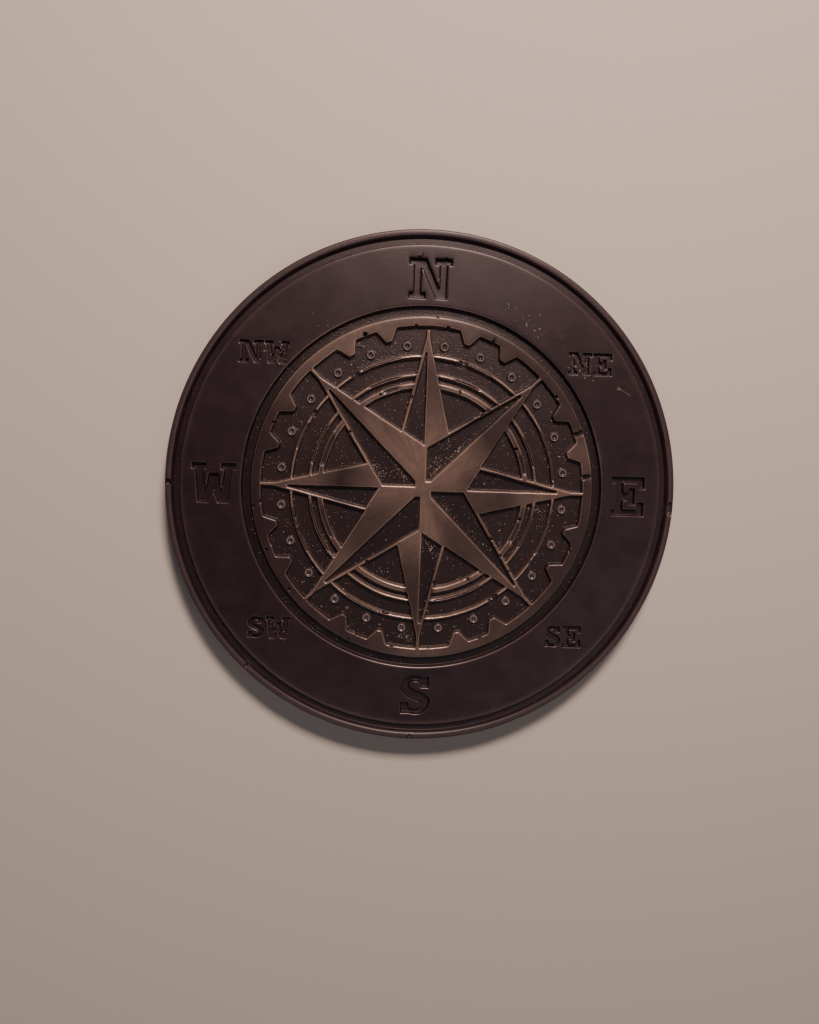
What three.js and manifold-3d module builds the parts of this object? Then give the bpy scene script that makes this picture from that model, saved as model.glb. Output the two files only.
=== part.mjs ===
// A round chocolate medallion, cast in one piece, that lies on its flat back. Its face carries a
// compass rose in low relief: an eight-ray star, three ring ridges, a toothed ring, small eyelets,
// and a flat band with compass letters between two grooves.
//
// Millimetres and degrees, +Z up. +Y is the rose's north and +X its east. The origin is the middle
// of the back. An azimuth counts clockwise from north, as on a compass.

import * as THREE from "three";
import { mergeVertices } from "three/addons/utils/BufferGeometryUtils.js";
import Module from "manifold-3d";

const wasm = await Module();
wasm.setup();

// ---- Driving dimensions ------------------------------------------------------------------------

const DISC_RADIUS = 75;
const THICKNESS = 9; // back to the top of the relief
const RELIEF = 1.5; // raised faces above sunk ones
const DRAFT = 0.35; // lean of a relief wall over that height
const ROUND_STEPS = 96; // flats in a full circle

const TOP = THICKNESS;
const FLOOR = THICKNESS - RELIEF;
const CLEAR = 1; // how far a raised form roots in the slab, and a cutter stands above the face

// Edge of the slab
const BACK_ROUND = 0.7;
const LIP_ROUND = 0.8;
const SIDE_LEAN = 0.2; // the front is this much smaller in radius than the back
const ARC_STEPS = 3;

// Radii of the rings, from the rim inwards
const RIM_INNER = 73.3;
const BAND_OUTER = 70.3;
const BAND_INNER = 53;
const GEAR_OUTER = 50;
const GEAR_INNER = 47.35;
const RIDGES = [
  { outer: 39.15, inner: 37.9 },
  { outer: 33.85, inner: 32.5 },
  { outer: 31.25, inner: 29.1 },
];

// Teeth of the gear ring and the eyelets between them
const TOOTH_PITCH = 15;
const TOOTH_TIP = 43.8;
const TOOTH_BASE_HALF = 3.55; // degrees
const TOOTH_TIP_HALF = 1.0; // degrees
const EYELET_CIRCLE = 41.75;
const EYELET_TURN = 6.7; // azimuth of the first eyelet
const EYELET_OUTER = 1.3; // radii
const EYELET_HOLE = 0.65;
const EYELET_HEIGHT = 0.65;
const EYELET_TOP = 0.3; // width of its flat top
const EYELET_STEPS = 10;

// Star
const RAY_PITCH = 45;
const RAY_TIP = 46.9;
const NOTCH_RADIUS = 18.6; // where two neighbouring rays meet
const RIDGE_WIDTH = 1.0; // ridge round a ray's sunk half
const AXIS_LAND = 0.65; // raised strip beside a diagonal ray's inner end
const POCKET_START = 2.3;
const POCKET_END = 39.7;

// Letters, drawn for the large capital height and scaled for the small one
const LARGE_CAP = 11.5;
const SMALL_CAP = 6.4;
const ROUND_CAP = 11.95; // the large S stands a little higher than the straight letters
const LETTER_DEPTH = 1.3;
const LETTER_GAP = 0.8;
const LETTER_DRAFT = 0.35;
const SERIF = 1.8; // height of a horizontal serif
const SERIF_REACH = 1.3;
const STEM = 2.3;
const MARKS = [
  { word: "N", azimuth: 0, radius: 60.8, cap: LARGE_CAP },
  { word: "E", azimuth: 90.2, radius: 60.95, cap: LARGE_CAP },
  { word: "S", azimuth: 180.1, radius: 61.45, cap: ROUND_CAP },
  { word: "W", azimuth: 269.8, radius: 60.8, cap: LARGE_CAP },
  { word: "NE", azimuth: 51.3, radius: 61.15, cap: SMALL_CAP },
  { word: "SE", azimuth: 134.6, radius: 60.85, cap: SMALL_CAP },
  { word: "SW", azimuth: 226.2, radius: 60.9, cap: SMALL_CAP },
  { word: "NW", azimuth: 308.9, radius: 60.5, cap: SMALL_CAP },
];

// Casting faults: places where the edge or a ring is broken, and burst bubbles
const FAULTS = [
  { azimuth: 269.5, radius: 73.9, width: 1.9, length: 2.5, depth: 1.5 },
  { azimuth: 92.8, radius: 73.8, width: 1.8, length: 4.4, depth: 1.2 },
  { azimuth: 223.0, radius: 73.5, width: 1.4, length: 1.4, depth: 0.8 },
  { azimuth: 181.1, radius: 73.9, width: 1.3, length: 1.1, depth: 0.8 },
  { azimuth: 68.5, radius: 48.5, width: 4.4, length: 1.3, depth: 1.4 },
  { azimuth: 83.9, radius: 48.6, width: 4.4, length: 1.4, depth: 1.4 },
  { azimuth: 337.4, radius: 47.8, width: 1.3, length: 1.4, depth: 1.4 },
  { azimuth: 291.8, radius: 47.5, width: 0.9, length: 0.8, depth: 1.0 },
  { azimuth: 263.8, radius: 47.5, width: 0.9, length: 0.8, depth: 1.0 },
  { azimuth: 262.3, radius: 49.6, width: 0.9, length: 0.8, depth: 0.8 },
  { azimuth: 355.6, radius: 47.3, width: 0.9, length: 1.0, depth: 1.0 },
  { azimuth: 6.8, radius: 47.4, width: 0.9, length: 1.0, depth: 1.0 },
  { azimuth: 23.6, radius: 47.5, width: 0.9, length: 0.8, depth: 1.0 },
  { azimuth: 53.5, radius: 47.4, width: 1.2, length: 1.0, depth: 1.0 },
  { azimuth: 302.8, radius: 38.6, width: 1.8, length: 2.6, depth: 1.3 },
  { azimuth: 327.3, radius: 38.6, width: 1.8, length: 3.0, depth: 1.3 },
  { azimuth: 145.3, radius: 38.5, width: 1.8, length: 3.6, depth: 1.3 },
  { azimuth: 65.0, radius: 29.7, width: 1.3, length: 1.1, depth: 1.2 },
];
const FAULT_STEPS = 8;

// ---- Helpers -----------------------------------------------------------------------------------

const radians = THREE.MathUtils.degToRad;

// The point at an azimuth and a radius
function compass(azimuth, radius) {
  const turn = radians(azimuth);
  return new THREE.Vector2(radius * Math.sin(turn), radius * Math.cos(turn));
}

// A closed geometry as a solid that can be joined and cut
function solid(geometry) {
  geometry.deleteAttribute("normal");
  geometry.deleteAttribute("uv");
  const merged = mergeVertices(geometry);
  const corners = merged.index.array;
  const triangles = [];
  for (let i = 0; i < corners.length; i += 3) {
    const [a, b, c] = corners.slice(i, i + 3);
    if (a !== b && b !== c && c !== a) {
      triangles.push(a, b, c);
    }
  }
  const mesh = new wasm.Mesh({
    numProp: 3,
    vertProperties: Float32Array.from(merged.attributes.position.array),
    triVerts: Uint32Array.from(triangles),
  });
  return new wasm.Manifold(mesh);
}

// A profile of [radius, height] pairs turned round the Z axis
function turned(profile, steps = ROUND_STEPS) {
  const points = profile.map(([radius, height]) => new THREE.Vector2(radius, height));
  const geometry = new THREE.LatheGeometry(points, steps);
  geometry.rotateX(Math.PI / 2);
  return solid(geometry);
}

// An outline with leaning walls. It is full size from z = 0 to z = CLEAR, and draws in by draft
// over the given height beyond both, so it serves as a raised form and as a cutter.
function tapered(shape, height, draft, curveSegments = 2) {
  const geometry = new THREE.ExtrudeGeometry(shape, {
    depth: CLEAR,
    curveSegments,
    bevelEnabled: true,
    bevelSegments: 1,
    bevelThickness: height,
    bevelSize: draft,
    bevelOffset: -draft,
  });
  return solid(geometry);
}

// A form that stands on the sunk floor, with its foot outline there
function raised(shape) {
  return tapered(shape, RELIEF, DRAFT).translate([0, 0, FLOOR - CLEAR]);
}

// A cutter for a recess whose outline lies in the top face
function recess(shape, depth, draft, curveSegments) {
  return tapered(shape, depth, draft, curveSegments).translate([0, 0, TOP]);
}

// The straight line through two points, shifted to the right of its direction
function line(from, to, shift = 0) {
  const along = to.clone().sub(from).normalize();
  const right = new THREE.Vector2(along.y, -along.x);
  return { start: from.clone().addScaledVector(right, shift), along };
}

// Where two lines cross
function meet(first, second) {
  const between = second.start.clone().sub(first.start);
  const reach = between.cross(second.along) / first.along.cross(second.along);
  return first.start.clone().addScaledVector(first.along, reach);
}

// ---- Slab, with the rim, the two grooves and the lettered band -----------------------------------

function slab() {
  const profile = [[0, 0]];
  const rimOuter = DISC_RADIUS - SIDE_LEAN;
  for (let i = 0; i <= ARC_STEPS; i++) {
    const turn = (Math.PI / 2) * (i / ARC_STEPS);
    profile.push([
      DISC_RADIUS - BACK_ROUND * (1 - Math.sin(turn)),
      BACK_ROUND * (1 - Math.cos(turn)),
    ]);
  }
  for (let i = 0; i <= ARC_STEPS; i++) {
    const turn = (Math.PI / 2) * (i / ARC_STEPS);
    profile.push([
      rimOuter - LIP_ROUND * (1 - Math.cos(turn)),
      TOP - LIP_ROUND * (1 - Math.sin(turn)),
    ]);
  }
  profile.push([RIM_INNER, TOP]);
  profile.push([RIM_INNER - DRAFT, FLOOR]);
  profile.push([BAND_OUTER + DRAFT, FLOOR]);
  profile.push([BAND_OUTER, TOP]);
  profile.push([BAND_INNER, TOP]);
  profile.push([BAND_INNER - DRAFT, FLOOR]);
  profile.push([GEAR_OUTER + DRAFT, FLOOR]);
  profile.push([GEAR_OUTER, TOP]);
  profile.push([0, TOP]);
  return turned(profile);
}

// ---- Well inside the gear ring, whose outline leaves the teeth standing ----------------------------

function wellOutline() {
  const shape = new THREE.Shape();
  const start = compass(0, GEAR_INNER);
  shape.moveTo(start.x, start.y);
  let landStart = 0;
  const arcTo = (azimuth) => {
    shape.absarc(0, 0, GEAR_INNER, radians(90 - landStart), radians(90 - azimuth), true);
  };
  for (let azimuth = TOOTH_PITCH; azimuth < 360; azimuth += TOOTH_PITCH) {
    if (azimuth % RAY_PITCH === 0) {
      continue;
    }
    arcTo(azimuth - TOOTH_BASE_HALF);
    for (const side of [-TOOTH_TIP_HALF, TOOTH_TIP_HALF]) {
      const tip = compass(azimuth + side, TOOTH_TIP);
      shape.lineTo(tip.x, tip.y);
    }
    const base = compass(azimuth + TOOTH_BASE_HALF, GEAR_INNER);
    shape.lineTo(base.x, base.y);
    landStart = azimuth + TOOTH_BASE_HALF;
  }
  arcTo(360);
  return shape;
}

function well() {
  return recess(wellOutline(), RELIEF, DRAFT);
}

// ---- Ring ridges and eyelets in the well -----------------------------------------------------------

function ridge({ outer, inner }) {
  return turned([
    [inner, FLOOR],
    [inner, FLOOR - CLEAR],
    [outer, FLOOR - CLEAR],
    [outer, FLOOR],
    [outer - DRAFT, TOP],
    [inner + DRAFT, TOP],
    [inner, FLOOR],
  ]);
}

// A small round boss with a hole in its middle
function eyelet(azimuth) {
  const rise = FLOOR + EYELET_HEIGHT;
  const crown = (EYELET_OUTER + EYELET_HOLE) / 2;
  const boss = turned([
    [0, FLOOR - CLEAR],
    [EYELET_OUTER, FLOOR - CLEAR],
    [EYELET_OUTER, FLOOR],
    [crown + EYELET_TOP / 2, rise],
    [crown - EYELET_TOP / 2, rise],
    [EYELET_HOLE / 2, FLOOR],
    [0, FLOOR],
  ], EYELET_STEPS);
  const place = compass(azimuth, EYELET_CIRCLE);
  return boss.translate([place.x, place.y, 0]);
}

// ---- Star --------------------------------------------------------------------------------------------

function starOutline() {
  const points = [];
  for (let azimuth = 0; azimuth < 360; azimuth += RAY_PITCH) {
    points.push(compass(azimuth, RAY_TIP));
    points.push(compass(azimuth + RAY_PITCH / 2, NOTCH_RADIUS));
  }
  return new THREE.Shape(points);
}

// The sunk half of a main ray, on its anticlockwise side. Its inner end is cut off by the next ray.
function mainPocket(azimuth) {
  const centre = new THREE.Vector2(0, 0);
  const tip = compass(azimuth, RAY_TIP);
  const notch = compass(azimuth - RAY_PITCH / 2, NOTCH_RADIUS);
  const neighbour = compass(azimuth - RAY_PITCH, RAY_TIP);
  const middle = line(centre, tip);
  const edge = line(notch, tip, RIDGE_WIDTH);
  const innerEnd = line(neighbour, notch);
  const outerEnd = line(compass(azimuth, POCKET_END), compass(azimuth, POCKET_END)
    .add(compass(azimuth + 90, 1)));
  return new THREE.Shape([
    meet(middle, innerEnd),
    meet(edge, innerEnd),
    meet(edge, outerEnd),
    meet(middle, outerEnd),
  ]);
}

// The sunk half of a diagonal ray, on its anticlockwise side, which runs in to the star's middle
function diagonalPocket(azimuth) {
  const centre = new THREE.Vector2(0, 0);
  const tip = compass(azimuth, RAY_TIP);
  const notch = compass(azimuth - RAY_PITCH / 2, NOTCH_RADIUS);
  const axis = compass(azimuth - RAY_PITCH, RAY_TIP);
  const middle = line(centre, tip);
  const edge = line(notch, tip, RIDGE_WIDTH);
  const side = line(centre, axis, AXIS_LAND);
  const across = compass(azimuth + RAY_PITCH, 1);
  const innerCorner = compass(azimuth - RAY_PITCH, POCKET_START);
  const innerEnd = line(innerCorner, innerCorner.clone().add(across));
  const outerCorner = compass(azimuth, POCKET_END);
  const outerEnd = line(outerCorner, outerCorner.clone().add(compass(azimuth + 90, 1)));
  return new THREE.Shape([
    meet(middle, innerEnd),
    meet(side, innerEnd),
    meet(side, edge),
    meet(edge, outerEnd),
    meet(middle, outerEnd),
  ]);
}

function pockets() {
  const cutters = [];
  for (let azimuth = 0; azimuth < 360; azimuth += 90) {
    cutters.push(recess(mainPocket(azimuth), RELIEF, DRAFT));
    cutters.push(recess(diagonalPocket(azimuth + RAY_PITCH), RELIEF, DRAFT));
  }
  return cutters;
}

// ---- Letters, each drawn from its lower left corner at the large capital height ---------------------

const CAP = LARGE_CAP;

function outline(points) {
  return new THREE.Shape(points.map(([x, y]) => new THREE.Vector2(x, y)));
}

function letterN() {
  const width = 12.4;
  const left = SERIF_REACH;
  const right = width - SERIF_REACH;
  const slope = 0.475; // run of the diagonal for each unit of fall
  const overhang = left + STEM + SERIF_REACH;
  const foot = width - 4.5; // lower left corner of the diagonal
  const upperMeet = CAP - (right - STEM - overhang) / slope;
  const lowerMeet = (foot - left - STEM) / slope;
  return {
    width,
    shape: outline([
      [0, 0], [0, SERIF], [left, SERIF], [left, CAP - SERIF], [0, CAP - SERIF], [0, CAP],
      [overhang, CAP], [right - STEM, upperMeet], [right - STEM, CAP - SERIF],
      [width - overhang, CAP - SERIF], [width - overhang, CAP], [width, CAP],
      [width, CAP - SERIF], [right, CAP - SERIF], [right, 0], [foot, 0],
      [left + STEM, lowerMeet], [left + STEM, SERIF], [overhang, SERIF], [overhang, 0],
    ]),
  };
}

function letterE() {
  const width = 9.9;
  const left = SERIF_REACH;
  const inner = left + STEM;
  const hook = 2; // width of the upright serifs at the arms' ends
  const fall = 3.4; // height of the upper arm's serif
  const lift = 4; // height of the lower arm's serif
  const middle = CAP / 2;
  const bar = 1.2; // half the middle arm's height
  const tongue = inner + 1.65; // where the middle arm's serif starts
  const tongueEnd = tongue + 1.8;
  const tongueHalf = 2.4;
  return {
    width,
    shape: outline([
      [0, 0], [0, SERIF], [left, SERIF], [left, CAP - SERIF], [0, CAP - SERIF], [0, CAP],
      [width, CAP], [width, CAP - fall], [width - hook, CAP - fall], [width - hook, CAP - SERIF],
      [inner, CAP - SERIF], [inner, middle + bar], [tongue, middle + bar],
      [tongue, middle + tongueHalf], [tongueEnd, middle + tongueHalf],
      [tongueEnd, middle - tongueHalf], [tongue, middle - tongueHalf], [tongue, middle - bar],
      [inner, middle - bar], [inner, SERIF], [width - hook, SERIF], [width - hook, lift],
      [width, lift], [width, 0],
    ]),
  };
}

function letterW() {
  const width = 12.6;
  const half = [
    [0, CAP], [0, CAP - SERIF], [0.9, CAP - SERIF], [1.8, 0], [5, 0],
  ];
  const inside = [
    [4.9, 8.6], [4.1, 4.3], [3.2, CAP - SERIF], [4.2, CAP - SERIF], [4.2, CAP],
  ];
  const mirrored = (points) => points.map(([x, y]) => [width - x, y]).reverse();
  return {
    width,
    shape: outline([
      ...half, [width / 2, 3.5], ...mirrored(half), ...mirrored(inside), ...inside,
    ]),
  };
}

// Two bowls with upright serifs. The lower half is the upper one turned by half a turn, and its
// serif stands a little further out.
function letterS() {
  const width = 9;
  const hook = 2.4;
  const shape = new THREE.Shape();
  const half = (place, end) => {
    shape.lineTo(...place(end, CAP - 0.4));
    shape.lineTo(...place(end, CAP - 3.6));
    shape.lineTo(...place(end - hook, CAP - 3.6));
    shape.lineTo(...place(end - hook, CAP - 2.3));
    shape.bezierCurveTo(
      ...place(5, CAP - 1.3), ...place(3.2, CAP - 1.6), ...place(2.7, CAP - 2.8),
    );
    shape.bezierCurveTo(
      ...place(2.6, CAP - 4.1), ...place(6.2, CAP - 4.4), ...place(8, CAP - 6.1),
    );
  };
  shape.moveTo(0.3, CAP - 3.4);
  shape.bezierCurveTo(0.5, CAP - 0.7, 3.4, CAP + 0.5, 6.2, CAP - 0.5);
  half((x, y) => [x, y], width - 0.7);
  shape.bezierCurveTo(width - 0.2, 4.5, width - 0.1, 4.0, width - 0.3, 3.4);
  shape.bezierCurveTo(width - 0.5, 0.7, width - 3.4, -0.5, width - 6.2, 0.5);
  half((x, y) => [width - x, CAP - y], width - 0.3);
  shape.bezierCurveTo(0.2, CAP - 4.5, 0.1, CAP - 4.0, 0.3, CAP - 3.4);
  return { width, shape };
}

const GLYPHS = { N: letterN(), E: letterE(), S: letterS(), W: letterW() };
const GLYPH_CURVE_STEPS = 4;

// A word as cutters, upright, with its middle at an azimuth and a radius
function letters({ word, azimuth, radius, cap }) {
  const scale = cap / CAP;
  const glyphs = [...word].map((character) => GLYPHS[character]);
  const gap = LETTER_GAP * scale;
  const length = glyphs.reduce((sum, glyph) => sum + glyph.width * scale + gap, -gap);
  const middle = compass(azimuth, radius);
  let x = middle.x - length / 2;
  return glyphs.map((glyph) => {
    const cutter = recess(glyph.shape, LETTER_DEPTH, LETTER_DRAFT, GLYPH_CURVE_STEPS)
      .translate([0, 0, -TOP])
      .scale([scale, scale, scale])
      .translate([x, middle.y - cap / 2, TOP]);
    x += glyph.width * scale + gap;
    return cutter;
  });
}

// ---- Casting faults ----------------------------------------------------------------------------------

// An egg-shaped cutter, width along the radius and length round the disc
function fault({ azimuth, radius, width, length, depth }) {
  const geometry = new THREE.SphereGeometry(1, FAULT_STEPS, FAULT_STEPS / 2);
  geometry.rotateX(Math.PI / 2);
  geometry.scale(length / 2, width / 2, depth);
  geometry.rotateZ(-radians(azimuth));
  const place = compass(azimuth, radius);
  return solid(geometry).translate([place.x, place.y, TOP]);
}

// ---- The medallion -----------------------------------------------------------------------------------

function medallion() {
  let body = slab().subtract(well()).add(raised(starOutline()));
  for (const ring of RIDGES) {
    body = body.add(ridge(ring));
  }
  for (let azimuth = EYELET_TURN; azimuth < 360; azimuth += TOOTH_PITCH) {
    body = body.add(eyelet(azimuth));
  }
  const cutters = [...pockets(), ...MARKS.flatMap(letters), ...FAULTS.map(fault)];
  for (const cutter of cutters) {
    body = body.subtract(cutter);
  }
  return body;
}

// A solid as a geometry for a mesh
function geometryOf(body) {
  const mesh = body.getMesh();
  const geometry = new THREE.BufferGeometry();
  geometry.setAttribute("position", new THREE.BufferAttribute(mesh.vertProperties, 3));
  geometry.setIndex(new THREE.BufferAttribute(mesh.triVerts, 1));
  geometry.computeVertexNormals();
  return geometry;
}

const chocolate = new THREE.MeshStandardMaterial({
  color: 0x3b2624,
  roughness: 0.42,
  metalness: 0,
});
chocolate.name = "dark_chocolate";

const piece = new THREE.Mesh(geometryOf(medallion()), chocolate);
piece.name = "medallion_disc";

const part = new THREE.Group();
part.name = "chocolate_medallion";
part.add(piece);

export default part;
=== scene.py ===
# A round medallion of dark chocolate, cast in one piece in a soft mould, lying on its flat back.
# The face carries a compass rose in low relief. Lengths in the tables below are millimetres and
# angles degrees; an azimuth counts clockwise from north, which is +Y. Blender gets metres.

import math

import bpy
import numpy as np
from mathutils import Euler, Matrix, Vector
from mathutils.geometry import delaunay_2d_cdt


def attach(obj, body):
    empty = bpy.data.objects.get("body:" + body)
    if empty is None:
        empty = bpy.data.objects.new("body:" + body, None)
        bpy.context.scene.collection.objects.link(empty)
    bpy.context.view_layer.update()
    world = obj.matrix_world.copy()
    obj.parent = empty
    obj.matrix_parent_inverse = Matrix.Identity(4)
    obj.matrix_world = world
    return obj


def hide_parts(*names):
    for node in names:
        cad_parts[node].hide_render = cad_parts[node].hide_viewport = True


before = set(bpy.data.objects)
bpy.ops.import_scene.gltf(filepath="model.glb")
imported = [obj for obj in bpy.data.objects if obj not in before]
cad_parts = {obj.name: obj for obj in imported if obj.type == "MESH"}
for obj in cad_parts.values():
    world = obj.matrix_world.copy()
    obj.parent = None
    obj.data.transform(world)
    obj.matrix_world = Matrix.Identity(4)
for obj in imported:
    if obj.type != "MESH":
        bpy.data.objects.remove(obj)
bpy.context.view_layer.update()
MM = 0.001

# ---- Driving dimensions --------------------------------------------------------------------------
# The outlines are the solid's. The lip is less rounded here, the eyelets are rounded and the small
# letters are shallower, as the cast has them.

DISC_RADIUS = 75.0
THICKNESS = 9.0
RELIEF = 1.5
DRAFT = 0.35  # how far a wall leans out on each side
BACK_ROUND = 0.7
LIP_ROUND = 0.55
SIDE_LEAN = 0.2
LIP_START = DISC_RADIUS - SIDE_LEAN - LIP_ROUND  # radius at which the face starts to round over
RIM_INNER = 73.3
BAND_OUTER = 70.3
BAND_INNER = 53.0
GEAR_OUTER = 50.0
GEAR_INNER = 47.35
RIDGES = ((39.15, 37.9), (33.85, 32.5), (31.25, 29.1))  # outer and inner radius
TOOTH_PITCH = 15
TOOTH_TIP = 43.8
TOOTH_BASE_HALF = 3.55  # in degrees, as the next
TOOTH_TIP_HALF = 1.0
EYELET_CIRCLE = 41.75
EYELET_TURN = 6.7  # azimuth of the first
EYELET_OUTER = 1.4
EYELET_CROWN = 0.95  # radius of the top of the ring
EYELET_HEIGHT = 0.7
EYELET_BULGE = 0.6  # power of the cosine outside the crown: less than 1 is fuller
DIMPLE = 0.7  # depth of the dimple, as a share of the ring's height
DIMPLE_SLOPE = 0.2  # added to that share at the north of the rose, and taken off at the south
RAY_PITCH = 45
RAY_TIP = 46.9
NOTCH_RADIUS = 18.6  # where neighbouring rays meet
RIDGE_WIDTH = 1.0  # raised strip between a sunk half and the side of its ray
AXIS_LAND = 0.65
POCKET_START = 2.3
POCKET_END = 39.7
LARGE_CAP = 11.5
SMALL_CAP = 6.4
ROUND_CAP = 11.95
LETTER_DEPTH = 1.3
SMALL_DEPTH = 1.0
LETTER_GAP = 0.8
SERIF = 1.8
SERIF_REACH = 1.3
STEM = 2.3
# Word, azimuth and radius of its middle, height of its capitals
MARKS = (
    ("N", 0.0, 60.8, LARGE_CAP),
    ("E", 90.2, 60.95, LARGE_CAP),
    ("S", 180.1, 61.45, ROUND_CAP),
    ("W", 269.8, 60.8, LARGE_CAP),
    ("NE", 51.3, 61.15, SMALL_CAP),
    ("SE", 134.6, 60.85, SMALL_CAP),
    ("SW", 226.2, 60.9, SMALL_CAP),
    ("NW", 308.9, 60.5, SMALL_CAP),
)

# ---- How the casting softens the drawn shape -----------------------------------------------------

STRAIGHT_STEP = 0.75  # spacing of points along a straight edge
CORNER_STEP = 0.16  # and round a corner
TURN_PER_STEP = 0.28  # radians that an outline may turn from one point to the next
FEWEST_POINTS = 12
WALK_STEP = 0.06  # even steps in which an outline is walked before it is blurred
CORNER_ROUND = 0.17  # how far the mould blurs a corner
LETTER_ROUND = 0.12
SMALL_LETTER_ROUND = 0.9 * LETTER_ROUND
BEND_SPREAD = 0.35  # length over which the bend of an outline is evened out
WANDER = 0.02  # strength of the sideways drift of the edges
SWELL = 0.012  # and of the slow unevenness of the face
CIRCLE_STEPS = 360
NECK_HALF = 0.4  # half the top width of a ray where it runs into the toothed ring
CLEAR_TIP = 46.1  # the north ray ends here, just short of the ring
FILL_STEP = 1.5  # spacing of points on flat places
FILL_ROWS = 60  # rows of them to each side of the middle
REACH = 1.1  # a wall is felt no further from its edge than this
BAND_WALL = 1.1  # width of the inner groove's walls, as a share of the usual one
LARGE_LETTER_WALL = 0.75
SMALL_LETTER_WALL = 0.6
# Section through a relief wall: distance into the sunk side, depth below the top
WALL = np.array([
    (-0.6, 0.0),
    (-0.46, 0.008),
    (-0.3, 0.045),
    (-0.16, 0.105),
    (-0.03, 0.205),
    (0.08, 0.4),
    (0.17, 0.78),
    (0.28, 1.17),
    (0.38, 1.4),
    (0.48, 1.488),
    (0.6, 1.5),
])
# Section across the groove inside the rim, which has a steep inner wall, a flat floor and a
# sloping outer wall: radius, depth below the top
OUTER_GROOVE = np.array([
    (69.25, 0.0),
    (69.75, 0.0),
    (70.0, 0.015),
    (70.2, 0.07),
    (70.36, 0.19),
    (70.48, 0.41),
    (70.57, 0.76),
    (70.63, 1.08),
    (70.67, 1.18),
    (70.72, 1.2),
    (70.79, 1.2),
    (72.07, 1.2),
    (72.14, 1.2),
    (72.2, 1.18),
    (72.26, 1.11),
    (72.48, 0.82),
    (72.72, 0.5),
    (72.95, 0.25),
    (73.14, 0.11),
    (73.34, 0.03),
    (73.6, 0.0),
])
GROOVE_EDGES = 2  # the edges of that groove come first in the list of paths

# Places where the cast is broken or a bubble burst: azimuth, radius, width along the radius,
# length round the disc, depth
FAULTS = (
    (269.5, 73.9, 1.9, 2.5, 1.5),
    (92.8, 73.8, 1.8, 4.4, 1.2),
    (223.0, 73.5, 1.4, 1.4, 0.8),
    (181.1, 73.9, 1.3, 1.1, 0.8),
    (68.5, 48.5, 4.4, 1.3, 1.4),
    (83.9, 48.6, 4.4, 1.4, 1.4),
    (337.4, 47.8, 1.3, 1.4, 1.4),
    (291.8, 47.5, 0.9, 0.8, 1.0),
    (263.8, 47.5, 0.9, 0.8, 1.0),
    (262.3, 49.6, 0.9, 0.8, 0.8),
    (355.6, 47.3, 0.9, 1.0, 1.0),
    (6.8, 47.4, 0.9, 1.0, 1.0),
    (23.6, 47.5, 0.9, 0.8, 1.0),
    (53.5, 47.4, 1.2, 1.0, 1.0),
    (302.8, 38.6, 1.8, 2.6, 1.3),
    (327.3, 38.6, 1.8, 3.0, 1.3),
    (145.3, 38.5, 1.8, 3.6, 1.3),
    (65.0, 29.7, 1.3, 1.1, 1.2),
)

# Smaller nicks and burst bubbles, in the same columns
CHIPS = (
    (350.7, 26.9, 1.4, 1.2, 0.9),
    (305.8, 27.0, 1.0, 1.3, 0.9),
    (333.8, 30.1, 0.9, 0.8, 0.8),
    (344.9, 43.0, 0.8, 0.9, 0.8),
    (300.6, 42.0, 0.8, 0.8, 0.7),
    (274.3, 47.1, 0.7, 0.7, 0.8),
    (19.1, 30.2, 1.6, 0.6, 0.7),
    (85.9, 38.0, 1.1, 0.9, 1.2),
    (36.4, 27.8, 0.9, 0.9, 0.8),
    (43.8, 35.2, 0.8, 0.9, 0.6),
    (0.2, 46.7, 0.6, 0.7, 0.6),
    (15.9, 38.5, 1.8, 3.2, 1.3),
    (255.5, 37.9, 1.3, 1.8, 1.3),
    (216.0, 27.0, 0.8, 0.9, 0.8),
    (195.0, 38.1, 1.4, 2.4, 1.2),
    (246.9, 49.0, 0.9, 1.1, 0.9),
    (231.3, 49.0, 0.9, 0.9, 0.9),
    (204.4, 49.4, 0.6, 0.8, 0.6),
    (105.7, 30.0, 1.3, 1.2, 1.2),
    (124.3, 25.1, 0.9, 0.9, 0.7),
    (129.2, 30.4, 0.9, 1.0, 0.7),
    (131.7, 35.5, 0.9, 0.9, 0.7),
    (151.5, 29.9, 1.6, 0.8, 0.6),
    (143.5, 29.9, 1.2, 0.8, 0.5),
    (171.5, 27.9, 0.9, 1.1, 0.9),
    (111.1, 47.3, 0.9, 1.0, 0.9),
    (125.4, 47.1, 0.8, 0.9, 0.8),
    (157.2, 47.4, 0.8, 1.0, 0.8),
    (176.0, 47.2, 0.6, 0.7, 0.5),
    (189.2, 47.4, 0.7, 0.8, 0.6),
    (245.6, 52.8, 0.6, 0.6, 0.5),
    (2.8, 49.9, 0.6, 0.7, 0.5),
    (68.2, 74.3, 0.6, 0.7, 0.4),
    (357.0, 66.9, 0.7, 0.7, 0.7),
    (3.7, 66.7, 0.7, 0.7, 0.7),
)
# One scratch: x, y of its two ends
SCRATCH_ENDS = np.array([(57.1, 31.3), (60.0, 29.6)])
SCRATCH_WIDTH = 0.4
SCRATCH_DEPTH = 0.07

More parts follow.
